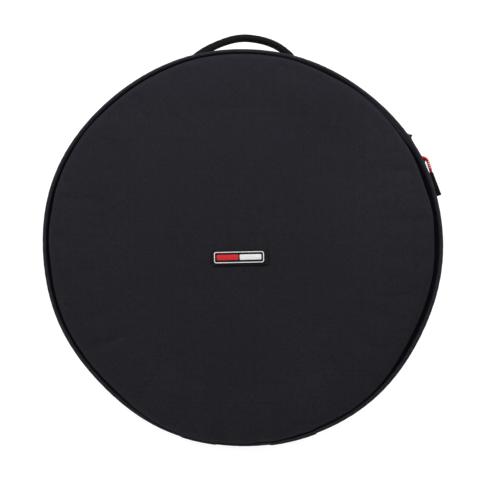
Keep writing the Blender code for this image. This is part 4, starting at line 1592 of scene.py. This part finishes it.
# The badge: its plate, the lip on it, its border with the border's width, and its bars
PLATE_SIZE, LIP_SIZE = (0.068, 0.0186), (0.0674, 0.018)
BORDER_SIZE, BORDER = (0.0604, 0.0136), 0.0011
BAR_SIZE, BAR_ASIDE = (0.0262, 0.0066), 0.0139


class BAG_OT_badge(Operator):
    """Make the badge: a bare moulded patch with a silver border and two plain bars"""

    bl_idname = "bag.badge"
    bl_label = "Badge"

    def execute(self, context):
        low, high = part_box("badge_patch")[0].z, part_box("badge_patch")[1].z
        where = (*BADGE, 0.0)
        aside = (BADGE[0] - 0.0013, BADGE[1], 0.0)
        plate = slab(PLATE_SIZE, 0.003, low, high, 0.0005)
        plate = Shape().grid(placed(plate, aside, BADGE_TURN))
        lip = moulded_ring(rounded_box(LIP_SIZE, 0.0028), 0.0007, high - 0.0004, high + 0.0003)
        plate.grid(placed(lip, aside, BADGE_TURN), ring=True)
        plate.piece("badge_plate", "badge rubber", "lid", "rubber", ["badge_patch"])
        low_border, high_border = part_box("badge_frame")
        middle = rounded_box([side - BORDER for side in BORDER_SIZE], 0.0022)
        ring = moulded_ring(middle, BORDER, low_border.z - 0.0002, high_border.z)
        Shape().grid(placed(ring, where, BADGE_TURN), ring=True).piece(
            "badge_border", "silver", "lid", "silver", ["badge_frame"]
        )
        bar = slab(BAR_SIZE, 0.0012, high - 0.0002, high + 0.0005, 0.00025)
        for colour, x in (("red", BAR_ASIDE), ("pale", -BAR_ASIDE)):
            turned_bar = placed(placed(bar, (x, 0, 0)), where, BADGE_TURN)
            Shape().grid(turned_bar).piece(
                f"badge_bar_{colour}", f"badge {colour}", "lid", "rubber"
            )
        return {"FINISHED"}


def beside_zip(angle, points):
    """Points from a slider's frame (outwards, along the zip, up) to the bag's."""
    x, y, z = np.moveaxis(np.asarray(points, float), -1, 0)
    out, along = (math.cos(angle), math.sin(angle)), (-math.sin(angle), math.cos(angle))
    return np.stack(
        [x * out[0] + y * along[0], x * out[1] + y * along[1], z + ZIP_LINE], axis=-1
    )


# Radius of the inner and of the outer face of the sliders' plates
PLATE_IN, PLATE_OUT = 0.2395, 0.2411
# A slider's plate: its outline along the zip and up, then inset and radius of its rings
SHIELD = (
    (-0.008, -0.0042), (-0.0045, -0.0065), (0.008, -0.0058), (0.008, 0.0058), (-0.0045, 0.0065),
    (-0.008, 0.0042),
)
SHIELD_RINGS = (
    (0.0004, PLATE_IN), (0.0, PLATE_IN + 0.0003), (0.0, PLATE_OUT - 0.0005),
    (0.0003, PLATE_OUT - 0.0001), (0.0008, PLATE_OUT),
)
SHIELD_HALF_LENGTH, SHIELD_HALF_WIDTH = 0.0075, 0.0062
# The places along its flange, and the share of the flange's thickness there
FLANGE_RINGS = ((-0.0062, 0.7), (-0.0058, 1.0), (0.0068, 1.0), (0.0072, 0.7))
# The bridges' routes over their plates: outwards and along the zip
BRIDGES = {
    "a": (
        (0.2486, -0.0034), (0.2485, -0.0020), (0.2480, -0.0004), (0.2474, 0.0012),
        (0.2464, 0.0034), (0.2448, 0.0041), (0.2425, 0.0042), (0.2405, 0.0042),
    ),
    "b": (
        (0.2405, -0.0042), (0.2425, -0.0042), (0.2452, -0.0041), (0.2468, -0.0034),
        (0.2474, -0.0018), (0.2474, 0.0018), (0.2468, 0.0034), (0.2452, 0.0041),
        (0.2425, 0.0042), (0.2405, 0.0042),
    ),
}
# The solid feet of the bridges: corners of each, outwards and along the zip
FEET = {
    "a": (
        (
            (0.2404, -0.0024), (0.2490, -0.0024), (0.2497, -0.0052), (0.2492, -0.0076),
            (0.2464, -0.0087), (0.2404, -0.0078),
        ),
    ),
    "b": tuple(
        (
            (0.2404, side * 0.0020), (0.2484, side * 0.0020), (0.2482, side * 0.0044),
            (0.2462, side * 0.0055), (0.2404, side * 0.0056),
        )
        for side in (-1, 1)
    ),
}
# The rings of a foot: height and the outline's share there
FOOT_RINGS = (
    (-0.0014, 0.86), (-0.0012, 0.96), (-0.0008, 1.0),
    (0.0008, 1.0), (0.0012, 0.96), (0.0014, 0.86),
)


def slider_piece(letter, angle):
    """A slider: shield plate with a rolled flange and a bridge that holds the cord."""
    outline = rounded(SHIELD, 0.0018, 0.001, steps=5)
    half = np.array([SHIELD_HALF_LENGTH, SHIELD_HALF_WIDTH])
    plate = np.array([
        [(radius, y, z) for y, z in outline * (1 - inset / half)] for inset, radius in SHIELD_RINGS
    ])
    shape = Shape().grid(beside_zip(angle, plate))
    lip = block(0.2372, 0.2399, -0.0064, -0.0044, 0.0006, 0.001)
    middle = lip.mean(axis=0)
    flange = np.array([
        [(x, y, z) for x, z in middle + (lip - middle) * grow] for y, grow in FLANGE_RINGS
    ])
    shape.grid(beside_zip(angle, flange))
    path = smooth_path([(out, along, 0) for out, along in BRIDGES[letter]], 0.0005)
    section = block(-0.0008, 0.0008, -0.0013, 0.0013, 0.0005, 0.0008)
    shape.grid(beside_zip(angle, swept(path, section, (0, 0, 1))))
    for corners in FEET[letter]:
        outline = rounded(corners, 0.0016, 0.0012, steps=5)
        middle = outline.mean(axis=0)
        foot = [
            np.column_stack([middle + (outline - middle) * grow, np.full(len(outline), height)])
            for height, grow in FOOT_RINGS
        ]
        shape.grid(beside_zip(angle, np.array(foot)))
    shape.piece(
        f"slider_{letter}", "black metal", f"slider_{letter}", "black_metal",
        [f"slider_{letter}_body", f"slider_{letter}_crown"], sharp=50,
    )


CORD_RADIUS = 0.0016
# How far a tab starts from its slider's middle, and how far the first one is lifted there
CORD_REACH, TAB_RISE = 0.0218, 0.0045
TAB_LENGTH, TAB_WIDTH, TAB_THICKNESS = 0.031, 0.0095, 0.006
TAB_TILT = math.radians(6)
# One leg of each pull's loop, from the middle of its bend to inside the tab
LEG_A = (
    (0.2440, 0.0006, 0.0), (0.2441, 0.0006, 0.0016), (0.2452, 0.0003, 0.0029),
    (0.2478, -0.0010, 0.0033), (0.2502, -0.0031, 0.0032), (0.2515, -0.0057, 0.0030),
    (0.2517, -0.0085, 0.0028), (0.2512, -0.0130, 0.0026), (0.2505, -0.0175, 0.0025),
    (0.2497, -0.0212, 0.0023), (0.2493, -0.0235, 0.0023),
)
# Radius of the second loop's bend round its bridge
BEND_B = 0.0027
LEG_B = (
    (0.0, 0.0, BEND_B), (0.71 * BEND_B, 0.0, 0.71 * BEND_B), (BEND_B, 0.0001, 0.0),
    (0.0025, 0.0006, -0.0030), (0.0016, 0.0012, -0.0065), (0.0009, 0.0017, -0.0105),
    (0.0003, 0.0021, -0.0150), (0.0, 0.0023, -0.0195), (0.0, 0.0023, -0.0235),
)
# Radius of the threads that are wound round the legs
THREAD_RADIUS = 0.0006


def loop_a():
    """The route of the first pull's cord, in its slider's frame."""
    leg = np.array(LEG_A)
    return np.concatenate([leg[:0:-1] * [1, 1, -1], leg])


def loop_b():
    """The route of the second pull's cord, in its slider's frame."""
    leg = np.array(LEG_B)
    return np.concatenate([leg[:0:-1] * [-1, -1, 1], leg]) + [0.2467, 0, 0]


def wound(path, radius, thread, pitch):
    """The route of a thread wound round a path."""
    path = smooth_path(path, 0.00025)
    tangent = unit(np.gradient(path, axis=0))
    side = unit(np.cross(tangent, [0.3, 0.2, 0.93]))
    rise = np.cross(side, tangent)
    turn = (lengths(path, False) / pitch * TURN)[:, None]
    return path + (radius + 0.3 * thread) * (np.cos(turn) * side + np.sin(turn) * rise)


def round_cord(path, radius, up, sides=10):
    """A plain round cord along points, closed at its ends."""
    ends = np.ones(len(path))
    ends[[0, -1]], ends[[1, -2]] = 0.35, 0.8
    section = circle(radius, sides)[None] * ends[:, None, None]
    return swept(path, section, up)


def cord_grid(route, pinch=0.0):
    """A round cord along a route, with the ridges of its braid, pinched in at its bend."""
    path = smooth_path(route, 0.00035)
    sides = 16
    around = TURN * np.arange(sides) / sides
    along = lengths(path, False)[:, None]
    right = np.abs(np.sin(around * 2 + along / 0.0011))
    left = np.abs(np.sin(around * 2 - along / 0.0011))
    ridge = 1 + 0.05 * right + 0.05 * left - 0.06
    drawn = 1 - pinch * np.exp(-(((along - along[-1] / 2) / 0.015) ** 6))
    section = np.stack([np.cos(around) * ridge, np.sin(around) * ridge], axis=-1) * CORD_RADIUS
    section = section * drawn[..., None]
    tangent = unit(np.gradient(path, axis=0))
    up = [unit(np.cross(tangent[0], [0.3, 0.9, 0.2]))]
    for step in range(1, len(path)):
        carried = up[-1] - tangent[step] * np.dot(up[-1], tangent[step])
        up.append(unit(carried))
    return swept(path, section, np.array(up))


def tab_grid():
    """The pull's tab along its first axis: rounded, with slanting ribs on its two wide faces."""
    around = rounded_box((TAB_THICKNESS, TAB_WIDTH), 0.0017, 5)
    keep = np.concatenate([[True], np.linalg.norm(np.diff(around, axis=0), axis=1) > 1e-6])
    around = spaced(around[keep], 0.0006, True)
    rings = []
    ends = np.array([0.0, 0.0003, 0.0008]), TAB_LENGTH + np.array([-0.0009, -0.0003, 0.0])
    body = np.arange(0.0014, TAB_LENGTH - 0.0012, 0.00038)
    for along in np.concatenate([ends[0], body, ends[1]]):
        near, far = along, TAB_LENGTH - along
        edge = (1 - min(far / 0.0009, 1.0)) ** 2
        pinch = 1 - 0.34 * (1 - min(near / 0.0026, 1.0)) ** 2 - 0.16 * edge
        wide = 1 - 0.16 * (1 - min(near / 0.004, 1.0)) ** 2 - 0.1 * edge
        ribs = float(ease((near - 0.004) / 0.002) * ease((far - 0.0035) / 0.002))
        ring = around * [pinch, wide]
        wave = np.abs(((along + ring[:, 1] * 0.8) / 0.0032) % 1.0 - 0.5) * 2
        ring[:, 0] -= np.sign(ring[:, 0]) * 0.0006 * ribs * ease((wave - 0.25) / 0.5) * (
            np.abs(ring[:, 0]) > TAB_THICKNESS * 0.32
        )
        rings.append([(along, thick, width) for thick, width in ring])
    return np.array(rings)


def pull_cord(letter, angle, route, wrapped, pinch=0.0):
    """A pull's cord loop, and the threads wound round a part of its two legs."""
    Shape().grid(beside_zip(angle, cord_grid(route, pinch))).piece(
        f"pull_{letter}_loop", "red cord", f"pull_{letter}", "red_cord", [f"pull_{letter}_cord"]
    )
    threads, count = Shape(), len(route)
    for leg in (route[wrapped], route[count - wrapped.stop : count - wrapped.start]):
        line = wound(leg, CORD_RADIUS, THREAD_RADIUS, 0.0026)
        line = round_cord(line, THREAD_RADIUS, (0.31, 0.2, 0.93), 8)
        threads.grid(beside_zip(angle, line))
    threads.piece(f"pull_{letter}_whipping", "pale whipping", f"pull_{letter}", "red_cord")


class BAG_OT_pulls(Operator):
    """Make the two zip sliders and their cord pulls"""

    bl_idname = "bag.pulls"
    bl_label = "Sliders and pulls"

    def execute(self, context):
        slider_piece("a", SLIDER_A)
        slider_piece("b", SLIDER_B)
        pull_cord("a", SLIDER_A, loop_a(), slice(16, 19))
        pull_cord("b", SLIDER_B, loop_b(), slice(13, 16), pinch=0.34)
        bend = smooth_path(loop_b()[3:14], 0.0004)
        sleeve = round_cord(bend, 0.00155, (0.02, 1.0, 0.01), 14)
        Shape().grid(beside_zip(SLIDER_B, sleeve)).piece(
            "pull_b_sleeve", "rubber", "pull_b", "rubber"
        )
        along, thick, width = np.moveaxis(tab_grid(), -1, 0)
        c, s = math.cos(TAB_TILT), math.sin(TAB_TILT)
        out = PLATE_OUT + 0.0029 + TAB_RISE - along * s + thick * c
        back = -CORD_REACH - along * c - thick * s
        for letter, angle, tab in (
            ("a", SLIDER_A, (out, back, width)),
            ("b", SLIDER_B, (0.2474 + thick, width, -CORD_REACH - along)),
        ):
            Shape().grid(beside_zip(angle, np.stack(tab, axis=-1))).piece(
                f"pull_{letter}_grip", "rubber", f"pull_{letter}", "rubber", [f"pull_{letter}_tab"]
            )
        return {"FINISHED"}


# The handle seen from above: its arch's centre and radius, and where it meets the wall
ARCH_CENTRE, ARCH_RADIUS, ROOT = 0.184, 0.088, 0.236
# Thickness and width of the webbing and of its padded sleeve, and how far the sleeve goes
STRAP, STRAP_WIDTH = 0.0025, 0.038
SLEEVE, SLEEVE_WIDTH = 0.0074, 0.042
SLEEVE_REACH = math.radians(47)
# Radius of the middle and of the outer face of the strap's sewn ends
STRAP_END_LINE, STRAP_END_FACE = 0.24005, 0.2413
# Each side's patch: where it starts, and where the strap's sewn box starts and ends, in degrees
HANDLE_PATCHES = (("right", 288, 289.3, 293.4), ("left", 240, 246.6, 250.7))
PATCH_TURN = 12


def arch(angle, radius):
    """Points of the handle's arch by their angle from straight out."""
    angle, radius, height = np.broadcast_arrays(angle, radius, HANDLE_HEIGHT)
    x, y = radius * np.sin(angle), -ARCH_CENTRE - radius * np.cos(angle)
    return np.stack([x, y, height], axis=-1)


def drawn_aside(angle):
    """How far the handle's bow is drawn to its left, to its right and at all, from 0 to 1."""
    loose = 1 - ease((np.abs(angle) - 0.73) / 0.21)
    return ease((angle + 0.1) / 0.6) * loose, ease((-0.1 - angle) / 0.5) * loose, loose


def bow(angle):
    """Radius of the handle's middle line at an angle: it hangs a little to one side."""
    left, right, loose = drawn_aside(angle)
    return ARCH_RADIUS - 0.0015 * loose - 0.0027 * left + 0.0016 * right


def bowed(angle):
    """Points of the handle's middle line, whose left leg stands out further."""
    points = arch(angle, bow(angle))
    points[..., 0] += 0.0045 * ease((points[..., 0] - 0.015) / 0.055)
    return points


def strap_line():
    """The middle line of the strap, from its sewn end on one patch to the other."""
    foot = math.acos((ROOT - ARCH_CENTRE) / ARCH_RADIUS)
    wall = polar(STRAP_END_LINE, np.radians([294, 292.4, 290.8, 289.2]), HANDLE_HEIGHT)
    points = [wall, bowed(np.linspace(foot, -foot, 15)), wall[::-1] * [-1, 1, 1]]
    return smooth_path(np.concatenate(points), 0.0015)


def handle_webbing():
    """The strap: an arch of webbing, doubled near its feet, with its ends sewn to the wall."""
    half = STRAP_WIDTH / 2
    section = block(-STRAP / 2, STRAP / 2, -half, half, 0.0011, 0.0016)
    line = strap_line()
    lean = np.degrees(np.arctan2(np.abs(line[:, 0]), -line[:, 1] - ARCH_CENTRE))
    doubled = 1 + 0.6 * ease((7 - np.abs(lean - 50)) / 3)
    section = section[None] * np.stack([doubled, np.ones(len(line))], axis=1)[:, None]
    near, far = (0, -ROOT + 0.004, HANDLE_HEIGHT), (0, -ROOT - 0.014, HANDLE_HEIGHT)
    Shape().grid(swept(line, section, (0, 0, 1))).piece(
        "handle_webbing", "webbing", ("bag", "handle", near, far), "webbing",
        ["handle_strap", "handle_end_left", "handle_end_right"],
    )


def handle_sleeve():
    """The padded sleeve round the strap's arch, and its rows of stitches."""
    angles = np.linspace(-SLEEVE_REACH, SLEEVE_REACH, 121)
    left = drawn_aside(angles)[0]
    edge = np.minimum(SLEEVE_REACH - np.abs(angles), 0.03) / 0.03
    thick, wide = SLEEVE / 2, SLEEVE_WIDTH / 2
    corners = [(-thick, -wide), (thick, -wide), (thick, wide), (-thick, wide)]
    outline = rounded(corners, 0.003, 0.002, steps=6)
    puff = 0.84 + 0.16 * np.sqrt(np.clip(edge, 0, 1))
    puff = (puff * (1 + 0.3 * left))[:, None]
    ripple = 1 + 0.04 * np.sin(angles * 61)[:, None] * np.cos(outline[:, 1] * 260)[None]
    across, up = outline[:, 0] * puff * ripple, np.broadcast_to(outline[:, 1], ripple.shape)
    twist = np.radians(0.5 + 3.9 * left)[:, None]
    c, s = np.cos(twist), np.sin(twist)
    sections = np.stack([across * c - up * s, across * s + up * c], axis=-1)
    sleeve = swept(bowed(angles), sections, (0, 0, 1))
    pad = Shape().grid(sleeve).piece(
        "handle_sleeve", "webbing", "handle", "webbing", ["handle_grip"]
    )
    rows = Shape()
    middle = sleeve.mean(axis=1)[3:-3]
    for place in ((0.0, wide), (thick, -0.78 * wide), (thick, 0.78 * wide)):
        nearest = int(np.argmin(np.linalg.norm(outline - place, axis=1)))
        line = sleeve[3:-3, nearest]
        out = (line - middle) * ([0, 0, 1] if place[0] == 0 else [1, 1, 0])
        sew(rows, line, unit(out))
    rows.piece("handle_stitches", "dark thread", "handle", "webbing")


def handle_patches():
    """The patches that carry the handle, and the stitches that hold them and the strap."""
    rows = Shape()
    inset = 0.003 / TRIM_OUT
    for name, start, near, far in HANDLE_PATCHES:
        start, end = math.radians(start), math.radians(start + PATCH_TURN)
        low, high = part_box(f"handle_patch_{name}")
        ring_piece(
            f"handle_base_{name}", block(TRIM_IN, TRIM_OUT, low.z, high.z, 0.0005, 0.003),
            "webbing", "bag", "webbing", [f"handle_patch_{name}"],
            start=start, end=end, steps=720,
        )
        edge = box_rows(start + inset, end - inset, low.z + 0.003, high.z - 0.003, False)
        wall_rows(rows, TRIM_OUT, edge)
        near, far = math.radians(near), math.radians(far)
        box = box_rows(near, far, HANDLE_HEIGHT - 0.0155, HANDLE_HEIGHT + 0.0155)
        wall_rows(rows, STRAP_END_FACE, box)
    rows.piece("handle_patch_stitches", "thread", "bag", "webbing")


class BAG_OT_handle(Operator):
    """Make the handle: webbing arch, padded sleeve and the patches that carry it"""

    bl_idname = "bag.handle"
    bl_label = "Handle"

    def execute(self, context):
        handle_webbing()
        handle_sleeve()
        handle_patches()
        return {"FINISHED"}


FLOOR_REACH = 6.0
# The camera's place over the lid, and the height of the lid's seam that its own counts from
CAMERA_PLACE, SEAM_LEVEL = (0.0036, -0.0087), 0.4335


def lamp(name, power, size, place, target):
    """A square soft lamp that looks at a point."""
    data = bpy.data.lights.new(name, "AREA")
    data.energy, data.size = power, size
    made = bpy.data.objects.new(name, data)
    made.location = place
    made.rotation_euler = (Vector(target) - Vector(place)).to_track_quat("-Z", "Y").to_euler()
    bpy.context.scene.collection.objects.link(made)


def seen(tree):
    """One for rays from the camera and for those that gloss and glass send on."""
    path = add(tree, "LightPath").outputs
    both = maths(tree, "MAXIMUM", path["Is Camera Ray"], path["Is Glossy Ray"])
    return maths(tree, "MAXIMUM", both, path["Is Transmission Ray"])


def make_floor():
    """A pale floor that keeps the bag's shadow and shows white round it. Its glow is weaker close
    to the bag's foot, a painted shadow ring on top of the real shadow.
    """
    mesh = bpy.data.meshes.new("floor")
    reach = FLOOR_REACH
    corners = [(-reach, -reach, 0), (reach, -reach, 0), (reach, reach, 0), (-reach, reach, 0)]
    mesh.from_pydata(corners, [], [(0, 1, 2, 3)])
    floor = bpy.data.objects.new("floor", mesh)
    bpy.context.scene.collection.objects.link(floor)
    floor.location.z = -0.0003
    material = bpy.data.materials.new("floor")
    material.use_nodes = True
    tree = material.node_tree
    shader = tree.nodes["Principled BSDF"]
    pale = between(tree, seen(tree), 0.0, 1.0, 0.8, 0.36)
    tree.links.new(pale, shader.inputs["Base Color"])
    where = add(tree, "TexCoord").outputs["Object"]
    away = add(tree, "VectorMath", {0: where}, operation="LENGTH").outputs["Value"]
    # Painted shadow: for the camera the glow is 0.58 up to 0.24 m from the middle and rises to 0.8
    # by 0.29 m, a ring of painted shade round the bag's foot
    near = between(tree, away, 0.24, 0.29, 0.58, 0.8)
    far = between(tree, away, 0.5, 1.6, 0.0, 0.2)
    glow_with_painted_shadow = maths(tree, "MULTIPLY", seen(tree), maths(tree, "ADD", near, far))
    tree.links.new(glow_with_painted_shadow, shader.inputs["Emission Strength"])
    shader.inputs["Roughness"].default_value = 0.9
    shader.inputs["Specular IOR Level"].default_value = 0.0
    shader.inputs["Emission Color"].default_value = (1, 1, 1, 1)
    mesh.materials.append(material)


def make_sky(scene, strength):
    """Even light from all round, which shows as white."""
    world = bpy.data.worlds.new("even light")
    world.use_nodes = True
    tree = world.node_tree
    background = tree.nodes["Background"]
    background.inputs["Color"].default_value = (1, 1, 1, 1)
    strength = between(tree, seen(tree), 0.0, 1.0, strength, 1.0)
    tree.links.new(strength, background.inputs["Strength"])
    scene.world = world


class BAG_OT_stage(Operator):
    """Make the floor, the even light, the lamps and the camera"""

    bl_idname = "bag.stage"
    bl_label = "Stage"

    def execute(self, context):
        scene, stage = context.scene, context.scene.bag_stage
        make_floor()
        make_sky(scene, stage.sky)
        for name, power, size, place, height in (
            ("key lamp left", stage.key, 0.7, (0.75, -0.85, 1.1), 0.4),
            ("key lamp right", stage.key * 1.03, 0.7, (-0.75, -0.85, 1.1), 0.4),
            ("fill lamp left", stage.fill * 1.25, 1.0, (1.6, 0.2, 0.75), 0.25),
            ("fill lamp right", stage.fill * 0.95, 1.0, (-1.6, 0.2, 0.75), 0.25),
            ("fill lamp back", stage.fill * 3.3, 0.6, (0.25, 1.7, 0.36), 0.2),
            ("fill lamp front", stage.fill * 0.7, 1.0, (-0.5, -1.8, 0.5), 0.2),
        ):
            lamp(name, power, size, place, (0, 0, height))
        data = bpy.data.cameras.new("camera")
        data.lens, data.sensor_width = stage.lens, 36
        camera = bpy.data.objects.new("camera", data)
        camera.location = (*CAMERA_PLACE, SEAM_LEVEL + stage.camera_height)
        camera.rotation_euler = (0, 0, math.pi)
        scene.collection.objects.link(camera)
        scene.camera = camera
        scene.view_settings.view_transform = "Standard"
        return {"FINISHED"}


OPERATORS = (
    BAG_OT_finishes, BAG_OT_folds, BAG_OT_base, BAG_OT_wall, BAG_OT_zip, BAG_OT_hinge,
    BAG_OT_band, BAG_OT_lid, BAG_OT_badge, BAG_OT_pulls, BAG_OT_handle, BAG_OT_stage,
)


class BAG_PT_pieces(Panel):
    """Lists the bag's sizes, colours and pieces in the sidebar."""

    bl_label = "Floor Tom Bag"
    bl_space_type = "VIEW_3D"
    bl_region_type = "UI"
    bl_category = "Tom Bag"

    def draw(self, context):
        """Draw the settings, then a button for each operator."""
        scene = context.scene
        for group in (scene.bag_sizes, scene.bag_colours, scene.bag_stage):
            box = self.layout.box()
            for name in type(group).__annotations__:
                box.prop(group, name)
        for operator in OPERATORS:
            self.layout.operator(operator.bl_idname)


CLASSES = (BagSizes, BagColours, BagStage, *OPERATORS, BAG_PT_pieces)


def register():
    """Register the classes and give each scene its settings."""
    for item in CLASSES:
        bpy.utils.register_class(item)
    bpy.types.Scene.bag_sizes = PointerProperty(type=BagSizes)
    bpy.types.Scene.bag_colours = PointerProperty(type=BagColours)
    bpy.types.Scene.bag_stage = PointerProperty(type=BagStage)


def unregister():
    """Take the settings and the classes away again."""
    for name in ("bag_sizes", "bag_colours", "bag_stage"):
        delattr(bpy.types.Scene, name)
    for item in reversed(CLASSES):
        bpy.utils.unregister_class(item)


def main():
    """Make every piece in order."""
    register()
    for operator in OPERATORS:
        group, name = operator.bl_idname.split(".")
        getattr(getattr(bpy.ops, group), name)()


if __name__ == "__main__":
    main()
